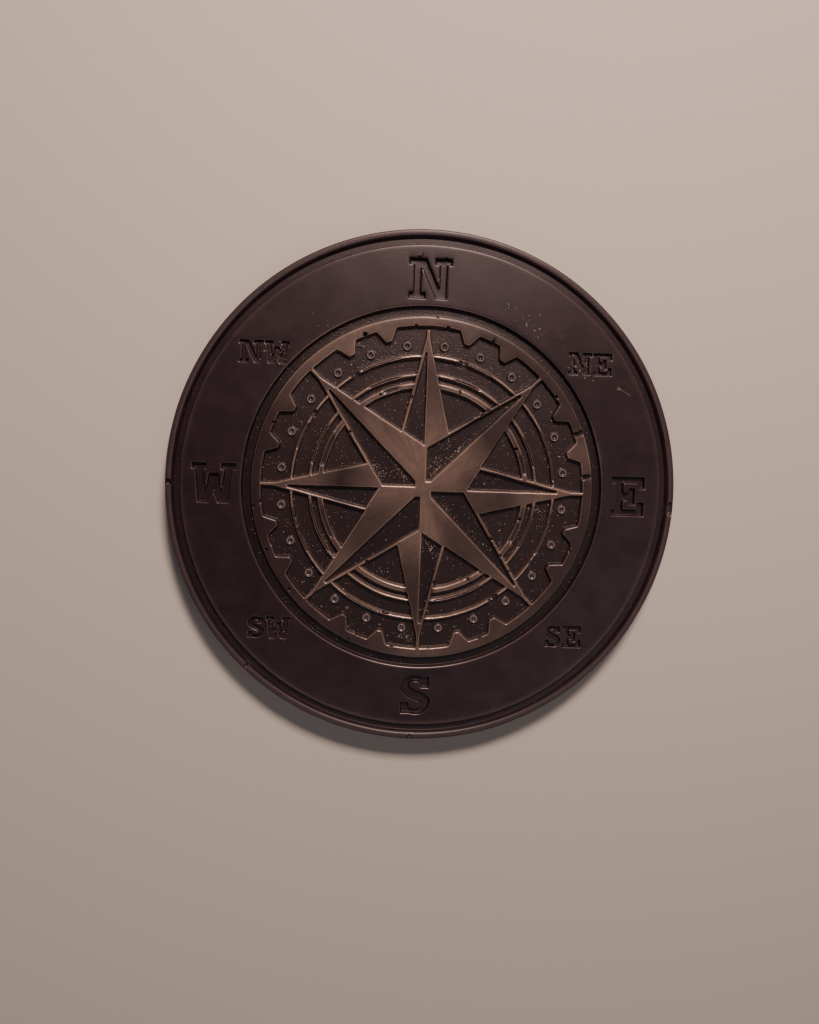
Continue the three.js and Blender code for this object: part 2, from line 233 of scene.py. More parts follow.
# Small lumps where the cast caught a crumb or a drop: azimuth, radius, width, height
LUMPS = (
    (349.3, 25.3, 1.1, 0.3),
    (298.1, 38.4, 1.3, 0.35),
    (305.2, 26.0, 1.0, 0.2),
    (302.9, 24.2, 0.9, 0.2),
    (333.5, 45.6, 1.1, 0.5),
    (334.6, 45.0, 1.0, 0.5),
    (29.6, 38.5, 1.1, 0.3),
    (35.8, 27.9, 0.9, 0.25),
    (34.1, 25.4, 0.9, 0.25),
    (44.0, 34.0, 0.9, 0.3),
    (251.4, 38.2, 1.4, 0.45),
    (248.1, 38.2, 0.9, 0.35),
    (245.3, 32.7, 1.0, 0.4),
    (239.2, 32.3, 0.9, 0.4),
    (259.1, 32.6, 0.9, 0.35),
    (242.4, 29.3, 0.7, 0.25),
    (215.5, 24.4, 0.9, 0.25),
    (288.9, 32.9, 0.9, 0.4),
    (300.4, 30.8, 1.2, 0.35),
    (119.0, 38.2, 1.2, 0.3),
    (126.3, 27.5, 1.0, 0.25),
    (210.5, 42.0, 1.5, 0.25),
    (195.6, 42.5, 1.1, 0.25),
    (165.1, 42.5, 1.1, 0.3),
    (150.2, 42.6, 1.0, 0.2),
    (203.6, 47.3, 1.4, 0.3),
    (247.5, 47.3, 1.1, 0.3),
    (54.5, 47.3, 1.2, 0.25),
    (94.3, 73.4, 1.1, 0.25),
    (2.1, 60.0, 1.0, 0.5),
    (268.6, 63.4, 0.9, 0.6),
    (268.5, 58.5, 1.0, 0.6),
    (267.6, 60.9, 0.8, 0.5),
)

# Stretches of the ring ridges that the mould didn't fill to the top: which ridge, counted from
# the outermost, first and last azimuth, and the depth of the channel that trapped air left along
# the crown
LOW_STRETCHES = (
    (0, 18.5, 29.5, 0.3),
    (0, 61.6, 85.0, 0.4),
    (0, 99.5, 118.0, 0.4),
    (0, 121.5, 124.0, 0.3),
    (0, 197.0, 214.0, 0.3),
    (0, 239.5, 260.0, 0.45),
    (0, 286.0, 297.5, 0.4),
    (0, 330.5, 348.0, 0.35),
    (1, 14.5, 28.0, 0.35),
    (1, 61.0, 77.0, 0.5),
    (1, 102.5, 120.0, 0.45),
    (1, 147.5, 172.0, 0.25),
    (1, 234.5, 261.0, 0.4),
    (1, 281.0, 302.5, 0.5),
    (1, 329.5, 346.5, 0.35),
    (2, 68.0, 80.5, 0.25),
    (2, 108.0, 120.0, 0.3),
    (2, 240.0, 259.0, 0.2),
    (2, 281.5, 298.5, 0.5),
    (2, 335.0, 345.0, 0.3),
)
STRETCH_END = 0.25  # length over which the channel reaches its depth
CHANNEL_LIP = 0.1  # how far its lips stay below the top
CHANNEL_DEEPER = 1.6  # its bottom is this many times as deep below its lips as the list says

# Share of lustre dust left by the rubbing: on the rays, one row for each from north clockwise, at
# each of DUST_RADII, and on the toothed ring at each azimuth, where the share is partly painted
# sheen, highest near north and south where the lights gleam on the ring
DUST_RADII = (8.0, 13.0, 24.0, 33.0, 42.0)
RAY_DUST = (
    (1.0, 1.0, 0.36, 0.25, 0.55),
    (1.0, 1.0, 0.08, 0.06, 0.22),
    (0.8, 0.35, 0.18, 0.68, 0.65),
    (0.65, 0.3, 0.22, 0.45, 0.4),
    (1.0, 1.0, 0.22, 0.15, 0.22),
    (0.65, 0.3, 0.2, 0.52, 0.4),
    (0.85, 0.75, 0.02, 0.5, 0.42),
    (1.0, 1.0, 0.6, 0.3, 0.42),
)
RING_AZIMUTHS = (
    0, 22, 45, 66, 70, 76, 82, 87, 112, 135, 157, 180, 202, 225, 270, 292, 315, 330, 345, 360,
)
RING_DUST_AND_SHEEN = (
    0.62, 0.17, 0.08, 0.07, 0.35, 0.5, 0.3, 0.1, 0.05, 0.13, 0.3, 0.48, 0.08, 0.1, 0.0, 0.0,
    0.45, 0.8, 0.5, 0.62,
)
NEIGHBOUR_TURN = 14  # how gradually one ray's share turns into the next one's
RIDGE_DUST = 0.55  # mean share on the ring ridges
RIDGE_SWING = 0.4
DUST_END = 0.55  # distance into the sunk side at which the dust ends
DUST_FADE = 0.35  # length over which it fades before that
FRESH_LOSS = 0.95  # how much less dust sticks where the surface is fresh
FILM = 0.03  # share of the dust colour mixed thinly into the floors, except in the sunk halves of the rays
RUBBED_OUT_TO = 51.3  # radius that the rubbing of the rose reached
# A line along the band's inner edge, as a share of the ring's table, and a pale line inside its
# outer edge, as a share and what is added to it at the south: each with its radius and width
INNER_LINE = 0.45
INNER_LINE_AT = BAND_INNER + 0.2
INNER_LINE_WIDTH = 0.35
OUTER_LINE = 0.1
OUTER_LINE_SOUTH = 0.15
OUTER_LINE_AT = BAND_OUTER - 0.55
OUTER_LINE_WIDTH = 0.4
EYELET_DUST = 0.36
SCRATCH_DUST = 0.6
LUMP_DUST = 0.55

# Where crumbs and dust gathered in the sunk parts: two ends x, y, spread, and how many specks of
# lustre dust and crumbs of chocolate
DRIFTS = (
    (2.0, 3.8, 11.4, 13.0, 0.35, 40, 18),
    (1.9, 5.6, 5.5, 10.5, 0.9, 22, 8),
    (4.7, 11.0, 8.1, 14.6, 1.2, 10, 4),
    (-3.8, 1.5, -14.8, 14.4, 0.3, 14, 60),
    (-14.6, 7.4, -11.2, 2.6, 0.6, 14, 12),
    (-10.0, 5.0, -5.0, 2.2, 0.7, 7, 9),
    (-21.5, 15.2, -15.0, 5.6, 0.25, 10, 26),
    (1.8, -15.4, 4.1, -20.1, 0.6, 16, 4),
    (5.3, -21.0, 3.9, -26.0, 0.25, 8, 10),
    (6.4, -3.1, 9.0, -7.5, 0.6, 12, 3),
    (9.9, -8.9, 20.5, -18.0, 0.5, 7, 4),
    (-20.6, 41.1, -19.5, 40.9, 0.5, 5, 2),
    (-16.2, 38.1, -13.2, 35.4, 0.9, 10, 8),
    (-20.4, 33.3, -17.9, 36.0, 0.7, 5, 8),
    (-9.6, 41.6, -8.1, 40.2, 1.5, 6, 3),
    (2.3, 44.7, 5.3, 42.5, 0.7, 8, 3),
    (26.7, 50.3, 32.8, 45.4, 1.6, 10, 0),
    (20.6, 55.8, 38.9, 43.6, 2.0, 16, 0),
    (41.5, 37.9, 48.3, 34.4, 1.5, 14, 6),
    (-49.2, 39.9, -39.9, 35.4, 1.6, 12, 22),
    (-30.1, 47.9, -24.2, 43.8, 2.0, 10, 0),
    (-5.8, -42.9, -1.6, -45.2, 0.7, 16, 8),
    (38.8, 12.8, 43.5, 8.5, 1.0, 8, 5),
    (29.7, -4.4, 36.7, -5.7, 0.7, 14, 8),
    (23.2, -8.5, 23.6, -15.9, 0.4, 7, 3),
    (8.9, 25.8, 10.7, 23.5, 0.8, 2, 0),
    (-23.1, -41.2, -20.1, -43.2, 0.8, 6, 5),
    (-12.7, -22.4, -11.8, -24.5, 0.5, 3, 0),
    (9.3, -31.3, 13.0, -34.0, 0.7, 5, 3),
    (42.5, 39.5, 47.5, 37.0, 0.9, 8, 22),
    (-44.0, -40.0, -38.5, -44.0, 0.9, 3, 18),
)
DRIFT_DENSITY = 1.8  # bits laid along a drift for each one in the list
STRAY_SPECKS = 500  # tried evenly over the rose; those on its sunk floors stay
STRAY_CRUMBS = 160
FOOT_SPECKS = 1600  # tried in the same way; those at the foot of a wall stay
FOOT_CRUMBS = 4500
FOOT_REACH = 0.55  # distance from an edge to which the foot of its wall reaches
OFF_THE_WALL = 0.2  # no bit of the rose lies nearer to an edge than this
DRAWS = 11  # seed of the random draws


def compass(azimuth, radius):
    """The point at an azimuth and a radius: x = r sin a, y = r cos a."""
    turn = np.radians(azimuth)
    return np.stack(np.broadcast_arrays(radius * np.sin(turn), radius * np.cos(turn)), axis=-1)


def polar(points):
    """(azimuth, radius) of points, the azimuth from -180 to 180."""
    x, y = points[:, 0], points[:, 1]
    return np.degrees(np.arctan2(x, y)), np.hypot(x, y)


def unit(vectors):
    """Vectors divided by their lengths."""
    return vectors / np.linalg.norm(vectors, axis=-1, keepdims=True)


def left_of(vectors):
    """A vector turned by a quarter turn anticlockwise."""
    return np.stack([-vectors[..., 1], vectors[..., 0]], axis=-1)


# ---- Outlines of the sunk parts ------------------------------------------------------------------

def line(start, end, shift=0.0):
    """The straight line through two points, moved to the right of its direction."""
    along = unit(end - start)
    return start - shift * left_of(along), along


def meet(first, second):
    """Where two lines cross."""
    (p, u), (q, v) = first, second
    gap = q - p
    reach = (gap[0] * v[1] - gap[1] * v[0]) / (u[0] * v[1] - u[1] * v[0])
    return p + reach * u


def on_circle(ray_line, radius):
    """Where a line leaves a circle round the middle."""
    p, u = ray_line
    half = p @ u
    return p + (math.sqrt(half * half - p @ p + radius * radius) - half) * u


def ray_edge(azimuth, hand):
    """Top edge of a ray, from notch to tip: hand is 1 on its clockwise side, -1 on the other."""
    notch = compass(azimuth + hand * RAY_PITCH / 2, NOTCH_RADIUS)
    return line(notch, compass(azimuth, RAY_TIP), -hand * DRAFT)


def arc(radius, start, end):
    """Points on a circle round the middle, from one azimuth to another."""
    count = max(2, int(abs(end - start) * radius / 30))
    return compass(np.linspace(start, end, count), radius)


def azimuth_of(point):
    """The azimuth of one point, from -180 to 180."""
    return math.degrees(math.atan2(point[0], point[1]))


def turned_near(azimuth, near):
    """The same azimuth, counted so that it lies within half a turn of another."""
    return near + (azimuth - near + 180) % 360 - 180


def side_of_ray(azimuth, hand, radius, end):
    """One side of a ray from a ridge's radius outwards. Near the tip it keeps NECK_HALF from the
    ray's axis, as far as the radius given by end."""
    edge = ray_edge(azimuth, hand)
    axis = unit(compass(azimuth, 1.0))
    across = unit(compass(azimuth + 90 * hand, 1.0))
    neck = (NECK_HALF * across, axis)
    return np.array([on_circle(edge, radius), meet(edge, neck), on_circle(neck, end)])


def toothed_edge(start, end):
    """Inner edge of the toothed ring from one azimuth to another."""
    points = []
    land = start
    for azimuth in range(0, 720, TOOTH_PITCH):
        if azimuth % RAY_PITCH and start < azimuth < end:
            points.append(arc(GEAR_INNER, land, azimuth - TOOTH_BASE_HALF))
            points.append(compass(azimuth - TOOTH_TIP_HALF, TOOTH_TIP)[None])
            points.append(compass(azimuth + TOOTH_TIP_HALF, TOOTH_TIP)[None])
            land = azimuth + TOOTH_BASE_HALF
    points.append(arc(GEAR_INNER, land, end))
    return np.concatenate(points)


def ridge_arc(radius, start_point, end_point):
    """Back along a ridge, anticlockwise, between two points on it."""
    start = azimuth_of(start_point)
    end = turned_near(azimuth_of(end_point), start - RAY_PITCH / 2)
    return arc(radius, start, end)[1:-1]


def gear_cell(azimuth):
    """Floor between two rays and between the toothed ring and the outer ridge."""
    ridge = RIDGES[0][0] - DRAFT
    near = side_of_ray(azimuth, 1, ridge, GEAR_INNER)
    far = side_of_ray(azimuth + RAY_PITCH, -1, ridge, GEAR_INNER)
    start = turned_near(azimuth_of(near[-1]), azimuth)
    end = turned_near(azimuth_of(far[-1]), azimuth + RAY_PITCH)
    back = ridge_arc(ridge, far[0], near[0])
    return np.concatenate([near[:-1], toothed_edge(start, end), far[::-1][1:], back])


def north_gear_cell():
    """The two floors beside the north ray, joined round its tip."""
    ridge = RIDGES[0][0] - DRAFT
    first = 360 - RAY_PITCH
    near = side_of_ray(first, 1, ridge, GEAR_INNER)
    far = side_of_ray(RAY_PITCH, -1, ridge, GEAR_INNER)
    start = turned_near(azimuth_of(near[-1]), first)
    end = turned_near(azimuth_of(far[-1]), 360 + RAY_PITCH)
    right = side_of_ray(0, 1, ridge, CLEAR_TIP)
    left = side_of_ray(0, -1, ridge, CLEAR_TIP)
    return np.concatenate([
        near[:-1],
        toothed_edge(start, end),
        far[::-1][1:],
        ridge_arc(ridge, far[0], right[0]),
        right,
        left[::-1],
        ridge_arc(ridge, left[0], near[0]),
    ])


def ring_cell(azimuth, outer, inner):
    """Floor between two rays and two ridges, given by the radii of the ridges' top edges."""
    near = ray_edge(azimuth, 1)
    far = ray_edge(azimuth + RAY_PITCH, -1)
    corners = [on_circle(near, outer), on_circle(far, outer)]
    start = turned_near(azimuth_of(corners[0]), azimuth)
    end = turned_near(azimuth_of(corners[1]), azimuth + RAY_PITCH)
    back = [on_circle(far, inner), on_circle(near, inner)]
    return np.concatenate([
        arc(outer, start, end),
        back[0][None],
        ridge_arc(inner, *back),
        back[1][None],
    ])


def corner_cell(azimuth):
    """The three-cornered floor between two rays and inside the inner ridge."""
    radius = RIDGES[2][1] + DRAFT
    near = ray_edge(azimuth, 1)
    far = ray_edge(azimuth + RAY_PITCH, -1)
    start = turned_near(azimuth_of(on_circle(near, radius)), azimuth)
    end = turned_near(azimuth_of(on_circle(far, radius)), azimuth + RAY_PITCH)
    return np.concatenate([arc(radius, start, end), meet(near, far)[None]])


def main_pocket(azimuth):
    """The sunk half of a main ray. Its inner end is cut off by the next ray."""
    centre = np.zeros(2)
    tip = compass(azimuth, RAY_TIP)
    notch = compass(azimuth - RAY_PITCH / 2, NOTCH_RADIUS)
    middle = line(centre, tip)
    edge = line(notch, tip, RIDGE_WIDTH)
    inner_end = line(compass(azimuth - RAY_PITCH, RAY_TIP), notch)
    outer_corner = compass(azimuth, POCKET_END)
    outer_end = line(outer_corner, outer_corner + compass(azimuth + 90, 1.0))
    return np.array([
        meet(middle, inner_end),
        meet(edge, inner_end),
        meet(edge, outer_end),
        meet(middle, outer_end),
    ])


def diagonal_pocket(azimuth):
    """The sunk half of a diagonal ray, which runs in to the middle of the star."""
    centre = np.zeros(2)
    tip = compass(azimuth, RAY_TIP)
    middle = line(centre, tip)
    edge = line(compass(azimuth - RAY_PITCH / 2, NOTCH_RADIUS), tip, RIDGE_WIDTH)
    side = line(centre, compass(azimuth - RAY_PITCH, RAY_TIP), AXIS_LAND)
    inner_corner = compass(azimuth - RAY_PITCH, POCKET_START)
    inner_end = line(inner_corner, inner_corner + compass(azimuth + RAY_PITCH, 1.0))
    outer_corner = compass(azimuth, POCKET_END)
    outer_end = line(outer_corner, outer_corner + compass(azimuth + 90, 1.0))
    return np.array([
        meet(middle, inner_end),
        meet(side, inner_end),
        meet(side, edge),
        meet(edge, outer_end),
        meet(middle, outer_end),
    ])


def pocket(azimuth):
    """The sunk half of a ray, on its anticlockwise side."""
    return diagonal_pocket(azimuth) if azimuth % 90 else main_pocket(azimuth)


# ---- Letters, from the lower left corner at the large capital height -----------------------------

CAP = LARGE_CAP


def bezier(start, first, second, end):
    """Points after the start on a cubic curve."""
    t = np.linspace(0, 1, 13)[1:, None]
    a, b, c, d = (np.array(p, float) for p in (start, first, second, end))
    return (1 - t) ** 3 * a + 3 * (1 - t) ** 2 * t * b + 3 * (1 - t) * t ** 2 * c + t ** 3 * d


def letter_n():
    """(width, outline) of the letter, as for those that follow."""
    width, left = 12.4, SERIF_REACH
    right, slope = width - SERIF_REACH, 0.475
    overhang = left + STEM + SERIF_REACH
    foot = width - 4.5
    upper = CAP - (right - STEM - overhang) / slope
    lower = (foot - left - STEM) / slope
    return width, np.array([
        (0, 0), (0, SERIF), (left, SERIF), (left, CAP - SERIF), (0, CAP - SERIF), (0, CAP),
        (overhang, CAP), (right - STEM, upper), (right - STEM, CAP - SERIF),
        (width - overhang, CAP - SERIF), (width - overhang, CAP), (width, CAP),
        (width, CAP - SERIF), (right, CAP - SERIF), (right, 0), (foot, 0),
        (left + STEM, lower), (left + STEM, SERIF), (overhang, SERIF), (overhang, 0),
    ])


def letter_e():
    """Three bars on a stem: hooked ends above and below, and a short tongue in the middle."""
    width, left, hook, fall, lift, bar = 9.9, SERIF_REACH, 2.0, 3.4, 4.0, 1.2
    inner, middle, half = left + STEM, CAP / 2, 2.4
    tongue = inner + 1.65
    tongue_end = tongue + 1.8
    return width, np.array([
        (0, 0), (0, SERIF), (left, SERIF), (left, CAP - SERIF), (0, CAP - SERIF), (0, CAP),
        (width, CAP), (width, CAP - fall), (width - hook, CAP - fall),
        (width - hook, CAP - SERIF), (inner, CAP - SERIF), (inner, middle + bar),
        (tongue, middle + bar), (tongue, middle + half), (tongue_end, middle + half),
        (tongue_end, middle - half), (tongue, middle - half), (tongue, middle - bar),
        (inner, middle - bar), (inner, SERIF), (width - hook, SERIF), (width - hook, lift),
        (width, lift), (width, 0),
    ])


def letter_w():
    """Two halves, each the other's mirror image."""
    width = 12.6
    half = np.array([(0, CAP), (0, CAP - SERIF), (0.9, CAP - SERIF), (1.8, 0), (5, 0)])
    inside = np.array([
        (4.9, 8.6), (4.1, 4.3), (3.2, CAP - SERIF), (4.2, CAP - SERIF), (4.2, CAP),
    ])
    flip = np.array([-1, 1])
    other = [width, 0] + (half * flip)[::-1]
    other_inside = [width, 0] + (inside * flip)[::-1]
    return width, np.concatenate([half, [(width / 2, 3.5)], other, other_inside, inside])


def letter_s():
    """Two bowls with upright serifs. The lower half is the upper one turned by half a turn, and
    its serif stands a little further out."""
    width, hook = 9.0, 2.4

    def half(end):
        hooked = [
            (end, CAP - 0.4), (end, CAP - 3.6), (end - hook, CAP - 3.6), (end - hook, CAP - 2.3),
        ]
        first = bezier(hooked[-1], (5, CAP - 1.3), (3.2, CAP - 1.6), (2.7, CAP - 2.8))
        second = bezier(first[-1], (2.6, CAP - 4.1), (6.2, CAP - 4.4), (8, CAP - 6.1))
        return np.concatenate([hooked, first, second])

    def half_turn(points):
        return np.array([width, CAP]) - points

    top = bezier((0.3, CAP - 3.4), (0.5, CAP - 0.7), (3.4, CAP + 0.5), (6.2, CAP - 0.5))
    upper = half(width - 0.7)
    lower = half_turn(half(width - 0.3))
    right = bezier(upper[-1], (width - 0.2, 4.5), (width - 0.1, 4.0), (width - 0.3, 3.4))
    bottom = half_turn(top)
    left = bezier(lower[-1], (0.2, CAP - 4.5), (0.1, CAP - 4.0), (0.3, CAP - 3.4))
    return width, np.concatenate([top, upper, right, bottom, lower, left[:-1]])


GLYPHS = {"N": letter_n(), "E": letter_e(), "S": letter_s(), "W": letter_w()}


def letters(word, azimuth, radius, cap):
    """Outlines of a word, upright, with its middle at an azimuth and a radius."""
    scale = cap / CAP
    widths = [GLYPHS[character][0] * scale for character in word]
    gap = LETTER_GAP * scale
    middle = compass(azimuth, radius)
    x = middle[0] - (sum(widths) + gap * (len(word) - 1)) / 2
    outlines = []
    for character, width in zip(word, widths):
        outlines.append(np.array([x, middle[1] - cap / 2]) + GLYPHS[character][1] * scale)
        x += width + gap
    return outlines


# ---- Paths: an outline softened as a mould softens it --------------------------------------------

def wander(points):
    """A slow sideways drift of the edges, under 0.06 mm: sums of sines of the place."""
    x, y = points[:, 0], points[:, 1]
    drift_x = np.sin(0.71 * y + 1.3) + np.sin(1.63 * x - 0.9 * y) + 0.7 * np.sin(2.9 * y + 0.8 * x)
    drift_y = np.sin(0.64 * x - 0.4) + np.sin(1.47 * y + 1.1 * x) + 0.7 * np.sin(3.1 * x - 0.7 * y)
    return points + WANDER * np.stack([drift_x, drift_y], axis=-1)


def soften(outline, blur):
    """A closed outline, anticlockwise, with its corners rounded and points along it. The outline
    is walked in even small steps and blurred with a bell curve round the loop; then points are
    spread so that they are close together where it bends."""
    x, y = outline.T
    if (x * np.roll(y, -1) - y * np.roll(x, -1)).sum() < 0:
        outline = outline[::-1]
    closed = np.concatenate([outline, outline[:1]])
    run = np.concatenate([[0], np.cumsum(np.linalg.norm(np.diff(closed, axis=0), axis=1))])
    count = int(run[-1] / WALK_STEP)
    at = np.arange(count) * run[-1] / count
    even = np.stack([np.interp(at, run, closed[:, k]) for k in (0, 1)], axis=-1)
    waves = np.fft.fftfreq(count, run[-1] / count)
    bell = np.exp(-2 * (math.pi * waves * blur) ** 2)[:, None]
    smooth = np.fft.ifft(np.fft.fft(even, axis=0) * bell, axis=0).real
    ahead = unit(np.roll(smooth, -1, axis=0) - smooth)
    bend = np.abs(np.cross(np.roll(ahead, 1, axis=0), ahead)) / (run[-1] / count)
    spread = np.exp(-2 * (math.pi * waves * BEND_SPREAD) ** 2)
    bend = np.maximum(np.fft.ifft(np.fft.fft(bend) * spread).real, 1e-6)  # never quite zero
    step = np.clip(TURN_PER_STEP / bend, CORNER_STEP, STRAIGHT_STEP)
    pace = np.concatenate([[0], np.cumsum(1 / step)]) * run[-1] / count
    points = max(FEWEST_POINTS, int(round(pace[-1])))
    places = np.interp(np.arange(points) * pace[-1] / points, pace, np.arange(count + 1))
    looped = np.concatenate([smooth, smooth[:1]])
    return np.stack([np.interp(places, np.arange(count + 1), looped[:, k]) for k in (0, 1)], -1)


def circle(radius, low_inside):
    """An evenly stepped circle, with the sunk side on its left."""
    azimuths = np.arange(CIRCLE_STEPS) * 360 / CIRCLE_STEPS
    return compass(-azimuths if low_inside else azimuths, radius)


def all_paths():
    """Every edge between raised and sunk, as (points with the sunk side on the left, depth,
    width of the wall as a share of the usual one)."""
    paths = [
        (circle(RIM_INNER, True), 1.0, 1.0),
        (circle(BAND_OUTER, False), 1.0, 1.0),
        (circle(BAND_INNER, True), 1.0, BAND_WALL),
        (circle(GEAR_OUTER, False), 1.0, BAND_WALL),
    ]
    cells = [north_gear_cell()]
    (_, ridge_1), (ridge_2, ridge_3), (ridge_4, _) = RIDGES
    for azimuth in range(0, 360, RAY_PITCH):
        if azimuth not in (0, 360 - RAY_PITCH):
            cells.append(gear_cell(azimuth))
        cells.append(ring_cell(azimuth, ridge_1 + DRAFT, ridge_2 - DRAFT))
        cells.append(ring_cell(azimuth, ridge_3 + DRAFT, ridge_4 - DRAFT))
        cells.append(corner_cell(azimuth))
        cells.append(pocket(azimuth))
    paths += [(wander(soften(cell, CORNER_ROUND)), 1.0, 1.0) for cell in cells]
    large = (LETTER_DEPTH, LETTER_ROUND, LARGE_LETTER_WALL)
    small = (SMALL_DEPTH, SMALL_LETTER_ROUND, SMALL_LETTER_WALL)
    for word, azimuth, radius, cap in MARKS:
        depth, blur, wall = large if len(word) == 1 else small
        for outline in letters(word, azimuth, radius, cap):
            paths.append((wander(soften(outline, blur)), depth / RELIEF, wall))
    return paths


class Edges:
    """All edge pieces, sorted into square tiles, so that the distance from many points to the
    nearest edge is found at once."""

    TILE = 1.0  # side of a tile
    SPAN = 3  # a piece is listed in this many tiles to each side of its own
    SHIFT = 100  # keeps the tiles' rows and columns positive
    ROW = 256  # more than the columns of a row
    BATCH = 8000  # about how many points are searched together
    FAR_AWAY = 1e3

    def __init__(self, paths):
        starts, ends, left_starts, left_ends, depths, widths = [], [], [], [], [], []
        self.paths = paths
        self.normals = []
        for points, depth, width in paths:
            following = np.roll(points, -1, axis=0)
            across = left_of(unit(following - points))
            normal = unit(across + np.roll(across, 1, axis=0))
            self.normals.append(normal)
            starts.append(points)
            ends.append(following)
            left_starts.append(normal)
            left_ends.append(np.roll(normal, -1, axis=0))
            depths.append(np.full(len(points), depth))
            widths.append(np.full(len(points), width))
        self.start = np.concatenate(starts)
        self.end = np.concatenate(ends)
        self.left_start = np.concatenate(left_starts)
        self.left_end = np.concatenate(left_ends)
        self.depth = np.concatenate(depths)
        self.width = np.concatenate(widths)
        self.sort_into_tiles()

    def tile_of(self, points):
        """One number for the tile that a point is in, from its row and column."""
        cell = np.floor(points / self.TILE).astype(int) + self.SHIFT
        return cell[:, 0] * self.ROW + cell[:, 1]

    def sort_into_tiles(self):
        """Lists every piece under its tile and those around it, in order of the tiles' numbers."""
        middle = (self.start + self.end) / 2
        near = np.arange(-self.SPAN, self.SPAN + 1)
        offsets = np.stack(np.meshgrid(near, near), axis=-1).reshape(-1, 2)
        tiles = self.tile_of((middle[:, None] + offsets * self.TILE).reshape(-1, 2))
        pieces = np.repeat(np.arange(len(middle)), len(offsets))
        order = np.argsort(tiles, kind="stable")
        self.pieces = pieces[order]
        self.tiles, self.first, self.count = np.unique(
            tiles[order], return_index=True, return_counts=True
        )

    def nearest(self, points):
        """(distance, positive on the sunk side; depth; wall width) of the nearest edge. Where none
        is within reach, the distance is a large number without meaning in its sign."""
        distance = np.full(len(points), self.FAR_AWAY)
        depth = np.ones(len(points))
        width = np.ones(len(points))
        tiles = self.tile_of(points)
        place = np.clip(np.searchsorted(self.tiles, tiles), 0, len(self.tiles) - 1)
        known = np.flatnonzero(self.tiles[place] == tiles)
        for part in np.array_split(known, max(1, len(known) // self.BATCH)):
            if not len(part):
                continue
            counts = self.count[place[part]]
            owner = np.repeat(np.arange(len(part)), counts)
            offset = np.arange(counts.sum()) - np.repeat(np.cumsum(counts) - counts, counts)
            piece = self.pieces[np.repeat(self.first[place[part]], counts) + offset]
            q = points[part][owner]
            a, b = self.start[piece], self.end[piece]
            along = b - a
            share = np.clip(((q - a) * along).sum(1) / (along ** 2).sum(1), 0, 1)[:, None]
            gap = q - a - share * along
            away = np.hypot(gap[:, 0], gap[:, 1])
            starts = np.cumsum(counts) - counts
            least = np.minimum.reduceat(away, starts)
            hits = np.flatnonzero(away == least[owner])
            found, index = np.unique(owner[hits], return_index=True)
            hit = hits[index]
            left = self.left_start[piece[hit]] * (1 - share[hit])
            left = left + self.left_end[piece[hit]] * share[hit]
            sign = np.where((gap[hit] * left).sum(1) >= 0, 1.0, -1.0)
            distance[part[found]] = sign * away[hit]
            depth[part[found]] = self.depth[piece[hit]]
            width[part[found]] = self.width[piece[hit]]
        return distance, depth, width

    def found_from(self, points):
        """The same, with the distance cut off at REACH and its sign right everywhere."""
        distance, depth, width = self.nearest(points)
        far = np.abs(distance) > REACH
        low = inside(points[far], [outline for outline, _, _ in self.paths])
        distance[far] = np.where(low, REACH, -REACH)
        return distance, depth, width


def inside(points, outlines):
    """True for points on the sunk side of some edge: an upward ray test against every outline."""
    low = np.zeros(len(points), bool)
    for outline in outlines:
        lowest, highest = outline.min(0), outline.max(0)
        near = np.flatnonzero(((points > lowest) & (points < highest)).all(1))
        if not len(near):
            continue
        x, y = points[near, 0, None], points[near, 1, None]
        x0, y0 = outline.T
        x1, y1 = np.roll(outline, -1, axis=0).T
        spans = (x0 <= x) != (x1 <= x)
        run = np.where(x1 == x0, 1.0, x1 - x0)
        above = y0 + (x - x0) / run * (y1 - y0) > y
        low[near] ^= (spans & above).sum(1) % 2 == 1
    return low


# ---- Height of the face --------------------------------------------------------------------------

def swell(points):
    """Slow unevenness of a hand-poured cast, under 0.05 mm: sums of sines of the place."""
    x, y = points[:, 0], points[:, 1]
    waves = np.sin(0.21 * x + 0.13 * y + 0.5) + np.sin(0.17 * y - 0.11 * x + 2.1)
    waves = waves + 0.5 * np.sin(0.43 * x - 0.31 * y + 1.0) + 0.5 * np.sin(0.38 * y + 0.36 * x)
    return SWELL * waves


def dome(away):
    """1 - d^2 of the distance from the middle, with d 1 at its edge, and 0 beyond."""
    return np.clip(1 - away ** 2, 0, 1)


def local(points, azimuth, radius):
    """Coordinates round the disc and along the radius, from a place given by the compass."""
    away = points - compass(azimuth, radius)
    outward = compass(azimuth, 1.0)
    return away @ np.array([outward[1], -outward[0]]), away @ outward


def eyelet_rise(points):
    """Small rings with a dimple, between the teeth: a cosine outside the crown of the ring, to a
    power that fills it out, and inside the crown a bowl, which is deeper to the north."""
    azimuth, _ = polar(points)
    nearest = EYELET_TURN + TOOTH_PITCH * np.round((azimuth - EYELET_TURN) / TOOTH_PITCH)
    away = np.linalg.norm(points - compass(nearest, EYELET_CIRCLE), axis=1)
    outside = np.clip((away - EYELET_CROWN) / (EYELET_OUTER - EYELET_CROWN), 0, 1)
    bead = np.maximum(np.cos(outside * math.pi / 2), 0) ** EYELET_BULGE
    depth = DIMPLE + DIMPLE_SLOPE * points[:, 1] / EYELET_CIRCLE
    bowl = 1 - depth * dome(away / EYELET_CROWN)
    return EYELET_HEIGHT * np.where(outside < 1, bead * bowl, 0)


